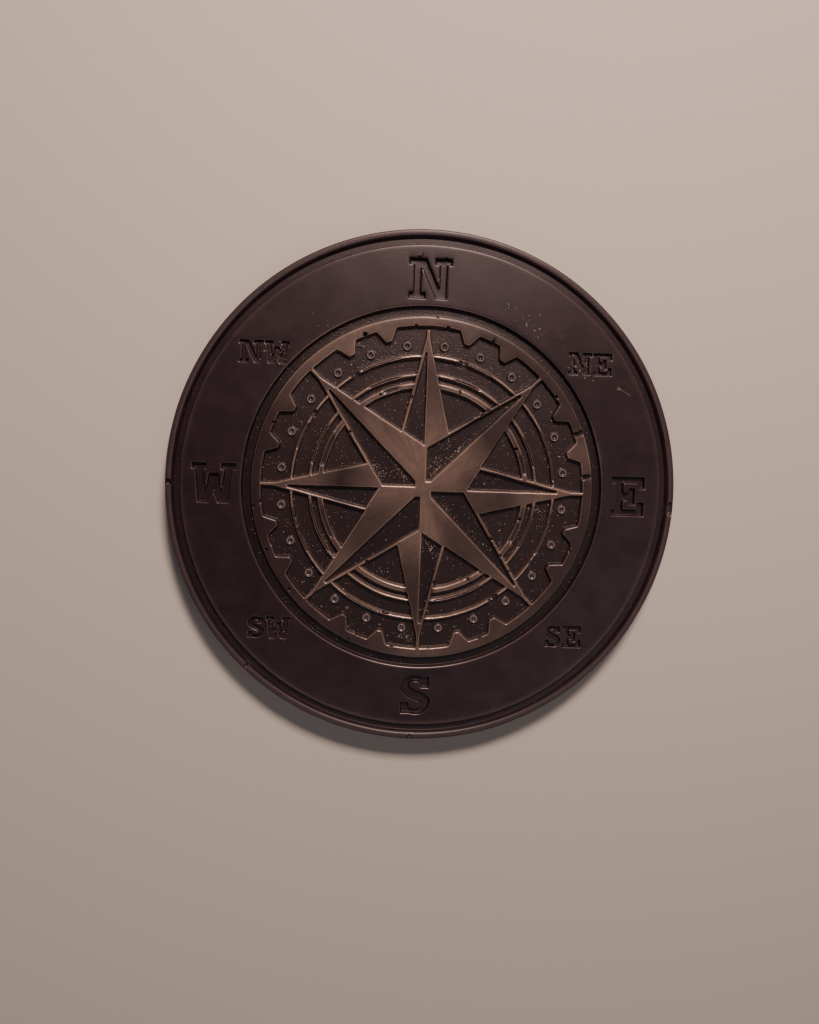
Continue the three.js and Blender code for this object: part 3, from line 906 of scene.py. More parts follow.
def low_stretches(points):
    """(height of the crown, share) where air kept a ridge from filling: a channel along the crown,
    1 - d^2 of the distance from its middle, between two thin lips. The share is 1 in the channel,
    and falls to 0 over the outer third towards its lips and at its ends."""
    azimuth, radius = polar(points)
    azimuth = azimuth % 360
    crown = np.full(len(points), np.inf)
    share = np.zeros(len(points))
    for ridge, start, end, drop in LOW_STRETCHES:
        outer, inner = RIDGES[ridge]
        across = np.abs(radius - (outer + inner) / 2) / ((outer - inner) / 2 - DRAFT)
        run = np.radians(np.minimum(azimuth - start, end - azimuth)) * radius
        soft = np.clip(run / STRETCH_END, 0, 1) * (across < 1)
        deep = CHANNEL_LIP + CHANNEL_DEEPER * drop * (1 - across ** 2)
        crown = np.where(soft > 0, THICKNESS - soft * deep, crown)
        share = np.maximum(share, soft * np.clip(3 * (1 - across), 0, 1))
    return crown, share


def lumps(points):
    """Height and share of the small lumps: (1 - d^2)^2 of the distance from a lump's middle."""
    rise = np.zeros(len(points))
    share = np.zeros(len(points))
    for azimuth, radius, across, high in LUMPS:
        away = np.linalg.norm(points - compass(azimuth, radius), axis=1) / (across / 2)
        rise += high * dome(away) ** 2
        share = np.maximum(share, dome(away) ** 2)
    return rise, share


def scratch(points):
    """1 along the bottom of the scratch and 0 at its sides: 1 - d^2 of the distance from it."""
    start, end = SCRATCH_ENDS
    along = end - start
    share = np.clip((points - start) @ along / (along @ along), 0, 1)
    away = np.linalg.norm(points - start - share[:, None] * along, axis=1)
    return dome(away / (SCRATCH_WIDTH / 2))


def face_height(points, edges):
    """Height of the face over the back at each point: the top less the depth that the wall's
    section gives for the distance to the nearest edge, with unfilled ridges, eyelets, faults,
    lumps, the scratch and the lip. Also the distance, and how fresh the surface is there."""
    distance, depth, width = edges.found_from(points)
    drop = np.interp(distance / width, WALL[:, 0], WALL[:, 1]) * depth
    _, radius = polar(points)
    groove = np.interp(radius, OUTER_GROOVE[:, 0], OUTER_GROOVE[:, 1])
    height = THICKNESS - np.where(radius > OUTER_GROOVE[0, 0], groove, drop)
    crown, fresh = low_stretches(points)
    height = np.minimum(height, crown) + swell(points) + eyelet_rise(points)
    for azimuth, place, across, length, deep in FAULTS + CHIPS:
        round_disc, along = local(points, azimuth, place)
        away = np.hypot(round_disc / (length / 2), along / (across / 2))
        bowl = THICKNESS - deep * np.sqrt(dome(away))
        height = np.where(away < 1, np.minimum(height, bowl), height)
        fresh = np.where(away < 1, 1.0, fresh)
    height = height + lumps(points)[0] - SCRATCH_DEPTH * scratch(points)
    lip = np.clip((radius - LIP_START) / LIP_ROUND, 0, 1)
    return height - LIP_ROUND * (1 - np.sqrt(1 - lip ** 2)), distance, fresh


def on_a_ray(points):
    """True inside the straight sides of a ray."""
    azimuth = np.arctan2(points[:, 0], points[:, 1])
    radius = np.hypot(points[:, 0], points[:, 1])
    pitch = math.radians(RAY_PITCH)
    turn = (azimuth + pitch / 2) % pitch - pitch / 2
    notch_out = NOTCH_RADIUS * math.cos(pitch / 2)
    notch_across = NOTCH_RADIUS * math.sin(pitch / 2)
    half = notch_across * (RAY_TIP - radius * np.cos(turn)) / (RAY_TIP - notch_out)
    return np.abs(radius * np.sin(turn)) < half + DRAFT


def bell_curve(distance, width):
    """A bell curve, exp(-(d / w)^2)."""
    return np.exp(-(distance / width) ** 2)


def lustre(points, distance, fresh):
    """How much lustre dust a point took, from 0 to 1. Raised faces of the rose and the toothed
    ring took it. On a ray it is read from the table by radius, and shared between neighbouring
    rays by a bell curve of the azimuth; on ridges it swings with cos 2a; on the toothed ring it is
    read from a table by azimuth, and there it is partly painted sheen. What isn't filled took
    little. Eyelets, lumps and the scratch took some too, and pale lines along both edges of the
    band are added."""
    azimuth, radius = polar(points)
    azimuth = azimuth % 360
    raised = np.clip((DUST_END - distance) / DUST_FADE, 0, 1)
    by_ray = np.array([np.interp(radius, DUST_RADII, row) for row in RAY_DUST])
    turns = turned_near(azimuth[None] - RAY_PITCH * np.arange(len(RAY_DUST))[:, None], 0)
    weights = bell_curve(turns, NEIGHBOUR_TURN)
    share = (by_ray * weights).sum(0) / weights.sum(0)
    ridge = RIDGE_DUST + RIDGE_SWING * np.cos(2 * np.radians(azimuth))
    # The ring's table is partly painted sheen, highest near north and south
    ring = np.interp(azimuth, RING_AZIMUTHS, RING_DUST_AND_SHEEN)
    between = np.where(radius < EYELET_CIRCLE, ridge, ring)
    share = np.where(on_a_ray(points) & (radius < GEAR_INNER), share, between)
    share = share * raised * (1 - FRESH_LOSS * fresh)
    sunk_halves = inside(points, [pocket(turn) for turn in range(0, 360, RAY_PITCH)])
    share = np.maximum(share, FILM * ~sunk_halves)
    share = np.where(radius > RUBBED_OUT_TO, 0.0, share)
    south = np.clip(-np.cos(np.radians(azimuth)), 0, 1)
    outer_line = OUTER_LINE + OUTER_LINE_SOUTH * south
    marks = (
        INNER_LINE * ring * bell_curve(radius - INNER_LINE_AT, INNER_LINE_WIDTH),
        outer_line * bell_curve(radius - OUTER_LINE_AT, OUTER_LINE_WIDTH),
        EYELET_DUST * (eyelet_rise(points) / EYELET_HEIGHT) ** 3,
        SCRATCH_DUST * np.sqrt(scratch(points)),
        LUMP_DUST * lumps(points)[1],
    )
    for mark in marks:
        share = np.maximum(share, mark)
    return share


# ---- Points of the face --------------------------------------------------------------------------

LIP_TURNS = np.radians([0, 20, 40, 58, 74])  # stations of the rounded lip
OWN_SHARE = 0.93  # a wall point stays if no edge is nearer than this share of the distance to
OWN_SLACK = 0.004  # its own edge, less this
EYELET_RINGS = np.array([0.22, 0.42, 0.52, 0.62, 0.74, 0.86, 0.97, 1.08, 1.2, 1.3, 1.4, 1.6])
EYELET_SPOKES = 20
FAULT_RINGS = np.array([0.0, 0.3, 0.6, 0.85, 1.0, 1.15])  # shares of a fault's size
FAULT_STEP = 0.17  # spacing of points round a fault
FAULT_SPOKES = (12, 40)  # fewest and most
FAULT_GAP = 0.1  # a fault's points keep about this far from the others
SCRATCH_STEPS = 14
SCRATCH_ROWS = (-0.9, -0.5, 0.0, 0.5, 0.9)  # shares of its width
STRETCH_ROWS = 9  # points across a ridge at the ends of a low stretch
STRETCH_MARGIN = 0.15  # how far they reach past its top edges
SAME_PLACE = 1e-5  # points closer than this become one


def wall_points(edges):
    """Points on every station of the wall's section, carried along every edge but the outer
    groove's, and the lines between them. A point is left out where another edge is nearer than
    its own."""
    places, links, total = [], [], 0
    paths = zip(edges.paths[GROOVE_EDGES:], edges.normals[GROOVE_EDGES:])
    for (outline, _, width), normal in paths:
        count = len(outline)
        stations = WALL[:, 0] * width
        grid = (outline[None] + stations[:, None, None] * normal[None]).reshape(-1, 2)
        away = np.abs(edges.nearest(grid)[0])
        kept = away > OWN_SHARE * np.abs(np.repeat(stations, count)) - OWN_SLACK
        number = np.cumsum(kept) - 1 + total
        table = np.where(kept, number, -1).reshape(len(stations), count)
        pairs = np.stack([table, np.roll(table, -1, axis=1)], axis=-1).reshape(-1, 2)
        links.append(pairs[(pairs >= 0).all(1)])
        places.append(grid[kept])
        total += int(kept.sum())
    return np.concatenate(places), np.concatenate(links)


def round_points():
    """Rings of points across the outer groove and over the rounded lip; the last one is the face's
    outer edge."""
    rings = [circle(radius, False) for radius in OUTER_GROOVE[:, 0]]
    rings += [circle(LIP_START + LIP_ROUND * math.sin(turn), False) for turn in LIP_TURNS]
    return np.concatenate(rings)


def even_turns(count):
    """Angles in radians that share a full turn evenly."""
    return np.arange(count) * 2 * math.pi / count


def eyelet_points():
    """Rings of points round each eyelet, and its middle."""
    middles = compass(EYELET_TURN + np.arange(0, 360, TOOTH_PITCH), EYELET_CIRCLE)
    turns = even_turns(EYELET_SPOKES)
    ring = np.stack([np.cos(turns), np.sin(turns)], axis=-1)
    grid = middles[:, None, None] + EYELET_RINGS[None, :, None, None] * ring[None, None]
    return np.concatenate([grid.reshape(-1, 2), middles])


def fault_points():
    """Rings of points round each fault, chip and lump, closer together near its lip, and points
    along the scratch and across the ends of the low stretches."""
    patches = []
    spots = [(azimuth, radius, across, across) for azimuth, radius, across, _ in LUMPS]
    spots += [fault[:4] for fault in FAULTS + CHIPS]
    for azimuth, radius, across, length in spots:
        girth = math.pi * (across + length) / 2
        turns = even_turns(int(np.clip(girth / FAULT_STEP, *FAULT_SPOKES)))
        outward = compass(azimuth, 1.0)
        sideways = np.array([outward[1], -outward[0]])
        ring = np.cos(turns)[:, None] * sideways * length / 2
        ring = ring + np.sin(turns)[:, None] * outward * across / 2
        rings = FAULT_RINGS[:, None, None] * ring
        patches.append(compass(azimuth, radius) + rings.reshape(-1, 2))
    start, end = SCRATCH_ENDS
    middle = start + np.linspace(0, 1, SCRATCH_STEPS)[:, None] * (end - start)
    aside = left_of(unit(end - start)) * SCRATCH_WIDTH
    patches += [middle + aside * shift for shift in SCRATCH_ROWS]
    for ridge, start, end, _ in LOW_STRETCHES:
        outer, inner = RIDGES[ridge]
        radii = np.linspace(inner - STRETCH_MARGIN, outer + STRETCH_MARGIN, STRETCH_ROWS)
        step = math.degrees(STRETCH_END / outer)
        patches += [compass(turn, radii) for turn in (start, start + step, end - step, end)]
    points = np.concatenate(patches)
    return points[polar(points)[1] < LIP_START]


def fill_points(edges):
    """A triangular grid over the flat places."""
    steps = np.arange(-FILL_ROWS, FILL_ROWS + 1)
    column, row = np.meshgrid(steps, steps)
    x = (column + 0.5 * (row % 2)) * FILL_STEP
    y = row * FILL_STEP * math.sqrt(3) / 2
    points = np.stack([x, y], axis=-1).reshape(-1, 2)
    points = points[polar(points)[1] < OUTER_GROOVE[0, 0]]
    distance, _, _ = edges.nearest(points)
    return points[np.abs(distance) > REACH]


def clear_of(points, others, gap):
    """Points whose square tile, a gap wide, holds none of the others, and at most one a tenth of
    a tile."""
    taken = {tuple(tile) for tile in np.round(others / gap).astype(int).tolist()}
    tiles = np.round(points / gap).astype(int).tolist()
    free = np.array([tuple(tile) not in taken for tile in tiles])
    _, first = np.unique(np.round(points * 10 / gap).astype(int), axis=0, return_index=True)
    once = np.zeros(len(points), bool)
    once[first] = True
    return points[free & once]


def lay_out(edges):
    """All points of the face and the lines that its triangles must keep."""
    walls, links = wall_points(edges)
    fixed = np.concatenate([walls, round_points(), eyelet_points(), fill_points(edges)])
    faults = clear_of(fault_points(), fixed, FAULT_GAP)
    return np.concatenate([fixed, faults]), links


def triangulate(points, links):
    """Points and triangles of the flat face, with every given line kept as an edge."""
    whole_plane = 0  # keep triangles outside the lines as well
    places = [tuple(point) for point in points.tolist()]
    lines = [tuple(link) for link in links.tolist()]
    corners, _, faces, _, _, _ = delaunay_2d_cdt(places, lines, [], whole_plane, SAME_PLACE)
    return np.array([tuple(c) for c in corners]), np.array(faces)


# ---- The cast disc -------------------------------------------------------------------------------

SIDE_HEIGHTS = (8.4, 6.0, 3.2)  # rings down the side
BACK_TURNS = np.radians([0, 30, 60, 90])  # stations of the back's rounded edge
BACK_RADII = (66.0, 50.0, 34.0, 18.0, 5.0)  # rings on the back
NO_AREA = 1e-9  # triangles below this are dropped
ON_THE_RIM = 1e-3  # how near the edge radius a point of it is


def side_rings():
    """(radius, height) of the rings of the side and back, from the lip down and in. The side
    leans in by SIDE_LEAN on its way up, and the back's edge is a quarter circle."""
    up = np.array(SIDE_HEIGHTS)
    lean = SIDE_LEAN * (up - BACK_ROUND) / (up[0] - BACK_ROUND)
    side = np.column_stack([DISC_RADIUS - lean, up])
    edge = np.column_stack([
        DISC_RADIUS - BACK_ROUND * (1 - np.cos(BACK_TURNS)),
        BACK_ROUND * (1 - np.sin(BACK_TURNS)),
    ])
    back = np.column_stack([BACK_RADII, np.zeros(len(BACK_RADII))])
    return np.concatenate([side, edge, back])


def new_mesh(name, corners, faces, smooth=True):
    """A mesh object from arrays of corners in millimetres and of faces, which all have the same
    number of sides."""
    mesh = bpy.data.meshes.new(name)
    sides = faces.shape[1]
    mesh.vertices.add(len(corners))
    mesh.vertices.foreach_set("co", (corners * MM).astype(np.float32).ravel())
    mesh.loops.add(faces.size)
    mesh.loops.foreach_set("vertex_index", faces.astype(np.int32).ravel())
    mesh.polygons.add(len(faces))
    mesh.polygons.foreach_set("loop_start", np.arange(len(faces), dtype=np.int32) * sides)
    mesh.polygons.foreach_set("loop_total", np.full(len(faces), sides, dtype=np.int32))
    mesh.update(calc_edges=True)
    mesh.validate()
    if smooth:
        mesh.shade_smooth()
    thing = bpy.data.objects.new(name, mesh)
    bpy.context.scene.collection.objects.link(thing)
    return thing


def float_attribute(thing, name, values):
    """A number at every corner of a mesh, for its material to read."""
    layer = thing.data.attributes.new(name, "FLOAT", "POINT")
    layer.data.foreach_set("value", values.astype(np.float32))


def side_and_back(corners, rim):
    """Rings below the face's outer edge, joined ring to ring, and a fan at the middle of the
    back. rim lists the corners of that edge in order of azimuth."""
    turns = np.arctan2(corners[rim, 0], corners[rim, 1])
    rings = side_rings()
    ring = np.stack([np.sin(turns), np.cos(turns)], axis=-1)
    flat = rings[:, 0, None, None] * ring[None]
    low = np.broadcast_to(rings[:, 1, None, None], flat.shape[:2] + (1,))
    count = len(rim)
    added = np.concatenate([flat, low], axis=-1).reshape(-1, 3)
    added = np.concatenate([added, [[0.0, 0.0, 0.0]]])
    table = len(corners) + np.arange(len(rings) * count).reshape(len(rings), count)
    table = np.concatenate([rim[None], table])
    here, there = table, np.roll(table, -1, axis=1)
    a, b, c, d = here[:-1], there[:-1], there[1:], here[1:]
    first = np.stack([a, b, c], axis=-1).reshape(-1, 3)
    second = np.stack([a, c, d], axis=-1).reshape(-1, 3)
    pole = np.full(count, len(corners) + len(added) - 1)
    fan = np.stack([here[-1], there[-1], pole], axis=-1)
    return np.concatenate([corners, added]), np.concatenate([first, second, fan])


def cast_disc():
    """(disc, edges): the face in triangles at their heights, with the side and back below."""
    edges = Edges(all_paths())
    flat, faces = triangulate(*lay_out(edges))
    height, distance, fresh = face_height(flat, edges)
    a, b, c = (flat[faces[:, k]] for k in range(3))
    area = np.cross(b - a, c - a)
    faces = np.where((area < 0)[:, None], faces[:, ::-1], faces)
    faces = faces[np.abs(area) > NO_AREA]
    edge_radius = LIP_START + LIP_ROUND * math.sin(LIP_TURNS[-1])
    azimuth, radius = polar(flat)
    rim = np.flatnonzero(np.abs(radius - edge_radius) < ON_THE_RIM)
    rim = rim[np.argsort(azimuth[rim])]
    corners, lower = side_and_back(np.column_stack([flat, height]), rim)
    disc = new_mesh("cast_medallion", corners, np.concatenate([faces, lower]))
    below = np.zeros(len(corners) - len(flat))
    on_eyelet = eyelet_rise(flat) > 0
    marked = np.where(on_eyelet, -REACH, distance)
    glossy = np.where(on_eyelet, 1.0, fresh)
    float_attribute(disc, "edge_distance", np.concatenate([marked, below - REACH]))
    float_attribute(disc, "lustre", np.concatenate([lustre(flat, distance, fresh), below]))
    float_attribute(disc, "fresh", np.concatenate([glossy, below]))
    return disc, edges


# ---- Crumbs and dust on the face -----------------------------------------------------------------

BALL_CORNERS = 12
ROUGH = (0.7, 1.25)  # how far in or out a grain's corners are, as shares of its radius
FLATTENED = 0.7  # its height as a share of its width
LIFT = 0.15  # height of its middle above the face, as a share of its width


def scattered(column, stray, at_feet, edges, draw):
    """Places of the specks or crumbs: along each drift, spread to its sides by a bell curve, then
    the stray ones evenly over the rose, and those at the feet of its walls. Only those on sunk
    floors, and on the band's, are kept."""
    places = []
    for drift in DRIFTS:
        start, end, spread = np.array(drift[:2]), np.array(drift[2:4]), drift[4]
        count = int(DRIFT_DENSITY * drift[column])
        share = draw.random((count, 1))
        places.append(start + share * (end - start) + draw.normal(0, spread, (count, 2)))
    radius = GEAR_OUTER * np.sqrt(draw.random(stray + at_feet))
    places.append(compass(draw.random(stray + at_feet) * 360, radius))
    places = np.concatenate(places)
    distance = edges.found_from(places)[0]
    on_band = polar(places)[1] > BAND_INNER + 1
    furthest = np.full(len(places), np.inf)
    furthest[len(places) - at_feet:] = FOOT_REACH
    return places[((distance > OFF_THE_WALL) & (distance < furthest)) | on_band]


def grains(name, places, heights, widths, draw):
    """Small lumps joined in one mesh: each is a twenty-sided ball with its corners moved in or
    out at random, turned at random, flattened, and sunk a little into what it lies on."""
    golden = (1 + math.sqrt(5)) / 2
    ball = unit(np.array([
        (-1, golden, 0), (1, golden, 0), (-1, -golden, 0), (1, -golden, 0),
        (0, -1, golden), (0, 1, golden), (0, -1, -golden), (0, 1, -golden),
        (golden, 0, -1), (golden, 0, 1), (-golden, 0, -1), (-golden, 0, 1),
    ]))
    sides = np.array([
        (0, 11, 5), (0, 5, 1), (0, 1, 7), (0, 7, 10), (0, 10, 11), (1, 5, 9), (5, 11, 4),
        (11, 10, 2), (10, 7, 6), (7, 1, 8), (3, 9, 4), (3, 4, 2), (3, 2, 6), (3, 6, 8),
        (3, 8, 9), (4, 9, 5), (2, 4, 11), (6, 2, 10), (8, 6, 7), (9, 8, 1),
    ])
    count = len(places)
    rough = ball[None] * draw.uniform(*ROUGH, (count, BALL_CORNERS, 1))
    turns = np.linalg.qr(draw.normal(size=(count, 3, 3)))[0]
    turns = turns * np.sign(np.linalg.det(turns))[:, None, None]
    shape = np.einsum("nij,nkj->nki", turns, rough) * (widths / 2)[:, None, None]
    shape = shape * np.array([1.0, 1.0, FLATTENED])
    middles = np.column_stack([places, heights + LIFT * widths])
    faces = sides[None] + BALL_CORNERS * np.arange(count)[:, None, None]
    return new_mesh(name, (shape + middles[:, None]).reshape(-1, 3), faces.reshape(-1, 3), False)


def specks_and_crumbs(edges):
    """Two kinds of loose bits: pale specks of lustre dust, and crumbs of chocolate. Small ones
    are commoner, as a width grows with the square of its draw."""
    draw = np.random.default_rng(DRAWS)
    pieces = []
    kinds = (
        # name, column of DRIFTS, how many strays and at feet, least and greatest width
        ("lustre_specks", 5, STRAY_SPECKS, FOOT_SPECKS, 0.12, 0.34),
        ("chocolate_crumbs", 6, STRAY_CRUMBS, FOOT_CRUMBS, 0.2, 0.5),
    )
    for name, column, stray, at_feet, least, most in kinds:
        places = scattered(column, stray, at_feet, edges, draw)
        heights = face_height(places, edges)[0]
        widths = least + (most - least) * draw.random(len(places)) ** 2
        pieces.append(grains(name, places, heights, widths, draw))
    return pieces


# ---- Materials -----------------------------------------------------------------------------------
# Lengths are millimetres. Numbered inputs: a mix takes its share at 0, and its two numbers at 2
# and 3 or its two colours at 6 and 7; a map range goes from 1..2 to 3..4, or else to 0..1.

MATH = "ShaderNodeMath"
VECTOR = "ShaderNodeVectorMath"
NOISE = "ShaderNodeTexNoise"
RANGE = "ShaderNodeMapRange"
MIX = "ShaderNodeMix"
MULTIPLY = {"operation": "MULTIPLY"}
MULTIPLY_ADD = {"operation": "MULTIPLY_ADD"}
SCALE = {"operation": "SCALE"}
COLOURS = {"data_type": "RGBA"}
COLOUR_OUTPUT = 2

BARE_DARK = "1A1116"
BARE_LIGHT = "34262B"
# Painted shade for the sunk floors, standing in for the shade that falls into the recesses
PAINTED_FLOOR_SHADE = "0F0306"
BRONZE_DARK = "745E57"
BRONZE_LIGHT = "938074"
# Painted highlight: a pale line along the lips outside the toothed ring
PAINTED_HIGHLIGHT_LINE = "AE9CA2"
BRONZE_LINE = "D0B6A6"
RIM_WEAR = "9C8C8E"
PINPOINT = "D6CAC6"
PEARL = "B4A8A6"
GLEAM = "FFF6FB"
STREAKS_PER_RADIAN = 14.0
STREAKS_PER_MM = 0.17
SATIN = 0.34  # roughness of the cast face
FRESH_GLOSS = 0.2  # and of what was never rubbed
METAL = 0.3  # how metallic the dust looks where it lies thickest
COCOA_BUTTER_IOR = 1.46
GRAIN_HEIGHT = 0.08 * MM
BIT_GRAIN_HEIGHT = 0.05 * MM


def linear(code):
    """An sRGB hex colour as linear red, green, blue and full alpha."""
    parts = [int(code[i:i + 2], 16) / 255 for i in (0, 2, 4)]
    return tuple(
        p / 12.92 if p <= 0.04045 else ((p + 0.055) / 1.055) ** 2.4 for p in parts
    ) + (1.0,)


def add_node(tree, kind, settings=None, inputs=None, output=0):
    """One output of a new node with its settings, and with each input set to a value or linked
    to another node's output."""
    node = tree.nodes.new(kind)
    for name, value in (settings or {}).items():
        setattr(node, name, value)
    for name, value in (inputs or {}).items():
        if isinstance(value, bpy.types.NodeSocket):
            tree.links.new(value, node.inputs[name])
        else:
            node.inputs[name].default_value = value
    return node.outputs[output]


def start_material(name):
    """(material, tree, shader, place in millimetres) of a new material."""
    material = bpy.data.materials.new(name)
    material.use_nodes = True
    tree = material.node_tree
    place = add_node(tree, "ShaderNodeTexCoord", output="Object")
    mm = add_node(tree, VECTOR, SCALE, {0: place, "Scale": 1 / MM})
    return material, tree, tree.nodes["Principled BSDF"], mm


def dusted_share(tree, mm, flat, radius, dust, grain):
    """(share, streaks): where the dust is. It is the share that the rubbing left, uneven in
    patches of about 5 mm and in streaks along the rays, 4 degrees wide and 6 mm long, as a
    fingertip leaves them, and a little thinner between the grains."""
    patches = add_node(
        tree, NOISE, None,
        {"Vector": mm, "Scale": 0.2, "Detail": 4.0, "Roughness": 0.6, "Distortion": 0.5},
    )
    outward = add_node(tree, VECTOR, {"operation": "NORMALIZE"}, {0: flat})
    outward = add_node(tree, VECTOR, SCALE, {0: outward, "Scale": STREAKS_PER_RADIAN})
    along = add_node(tree, MATH, MULTIPLY, {0: radius, 1: STREAKS_PER_MM})
    along = add_node(tree, "ShaderNodeCombineXYZ", None, {"X": 0.0, "Y": 0.0, "Z": along})
    radial = add_node(tree, VECTOR, {"operation": "ADD"}, {0: outward, 1: along})
    streaks = add_node(
        tree, NOISE, None,
        {"Vector": radial, "Scale": 1.0, "Detail": 4.0, "Roughness": 0.6, "Distortion": 0.4},
    )
    share = add_node(tree, RANGE, None, {"Value": patches, 1: 0.3, 2: 0.7, 3: 0.66, 4: 1.04})
    streaky = add_node(tree, RANGE, None, {"Value": streaks, 1: 0.3, 2: 0.7, 3: 0.92, 4: 1.02})
    worn = add_node(tree, RANGE, None, {"Value": grain, 1: 0.3, 2: 0.6, 3: 0.88, 4: 1.0})
    for part in (streaky, worn, dust):
        share = add_node(tree, MATH, MULTIPLY, {0: share, 1: part})
    share.node.use_clamp = True
    return share, streaks


def edge_line_and_highlight(tree, edge, radius, dust, fresh, grain):
    """(share, colour, lip): a brighter line of dust along the lip of an edge, 0.4 mm wide and
    broken by the grain. It is stronger where there is more dust. Outside the toothed ring the line
    is greyer and is painted highlight, a pale lip that the key light picks out where an edge faces
    it. The lip is the line before the grain breaks it."""
    off_line = add_node(tree, MATH, {"operation": "ADD"}, {0: edge, 1: 0.12})
    off_line = add_node(tree, MATH, {"operation": "ABSOLUTE"}, {0: off_line})
    smooth = {"interpolation_type": "SMOOTHSTEP"}
    lip = add_node(tree, RANGE, smooth, {"Value": off_line, 1: 0.22, 2: 0.04})
    beads = add_node(tree, RANGE, None, {"Value": grain, 1: 0.35, 2: 0.6, 3: 0.4, 4: 1.0})
    rich = add_node(tree, RANGE, None, {"Value": dust, 1: 0.0, 2: 0.7, 3: 0.14, 4: 0.9})
    kept = add_node(tree, MATH, MULTIPLY_ADD, {0: fresh, 1: -FRESH_LOSS, 2: 1.0})
    share = lip
    for part in (beads, rich, kept):
        share = add_node(tree, MATH, MULTIPLY, {0: share, 1: part})
    rose = add_node(tree, RANGE, None, {"Value": radius, 1: GEAR_OUTER + 1.6, 2: GEAR_OUTER + 1.0})
    # Outside the toothed ring the line is painted highlight; inside it, dust
    ends = {0: rose, 6: linear(PAINTED_HIGHLIGHT_LINE), 7: linear(BRONZE_LINE)}
    return share, add_node(tree, MIX, COLOURS, ends, COLOUR_OUTPUT), lip


def bare_chocolate_and_floor_shade(tree, mm, edge, radius):
    """(colour, grainy floor): chocolate without dust, a purplish black-brown in soft clouds of
    about 6 mm. Sunk floors are grainy from the mould, in lumps of about 0.8 mm; the share of that
    is 1 in the rose and 0.3 outside it. The grainy floors also carry painted shade, for the shade
    that falls into the recesses, strongest in the groove outside the toothed ring."""
    rose = add_node(tree, RANGE, None, {"Value": radius, 1: BAND_INNER + 0.4, 2: BAND_INNER, 3: 0.3})
    sunk = add_node(tree, RANGE, None, {"Value": edge, 1: 0.2, 2: 0.6})
    grainy = add_node(tree, MATH, MULTIPLY, {0: rose, 1: sunk})
    floor_lumps = add_node(
        tree, NOISE, None, {"Vector": mm, "Scale": 1.3, "Detail": 4.0, "Roughness": 0.75}
    )
    cloudy = add_node(
        tree, NOISE, None, {"Vector": mm, "Scale": 0.16, "Detail": 3.0, "Roughness": 0.55}
    )
    uneven = add_node(tree, MIX, None, {0: grainy, 2: cloudy, 3: floor_lumps})
    uneven = add_node(tree, RANGE, None, {"Value": uneven, 1: 0.15, 2: 0.85})
    ends = {0: uneven, 6: linear(BARE_DARK), 7: linear(BARE_LIGHT)}
    bare = add_node(tree, MIX, COLOURS, ends, COLOUR_OUTPUT)
    # Painted shade: the grainy floors are mixed towards the floor shade colour, most in the groove
    # outside the toothed ring
    darker = add_node(
        tree, RANGE, None,
        {"Value": radius, 1: GEAR_OUTER + 0.2, 2: GEAR_OUTER + 0.8, 3: 0.55, 4: 0.9},
    )
    shaded = add_node(tree, MATH, MULTIPLY, {0: grainy, 1: darker})
    ends = {0: shaded, 6: bare, 7: linear(PAINTED_FLOOR_SHADE)}
    return add_node(tree, MIX, COLOURS, ends, COLOUR_OUTPUT), grainy


def pinpoints(tree, mm, grainy):
    """Share of the pinpoints of dust on grainy floors: a dot of about 0.2 mm in every eighth
    cell of a 0.8 mm pattern."""
    away = add_node(
        tree, "ShaderNodeTexVoronoi", {"voronoi_dimensions": "2D"}, {"Vector": mm, "Scale": 1.25}
    )
    cell_colour = away.node.outputs["Color"]
    chosen = add_node(tree, "ShaderNodeSeparateColor", None, {"Color": cell_colour})
    chosen = add_node(tree, RANGE, None, {"Value": chosen, 1: 0.88, 2: 1.08})
    dot = add_node(tree, RANGE, None, {"Value": away, 1: 0.17, 2: 0.07})
    dot = add_node(tree, MATH, MULTIPLY, {0: dot, 1: chosen})
    return add_node(tree, MATH, MULTIPLY, {0: dot, 1: grainy})


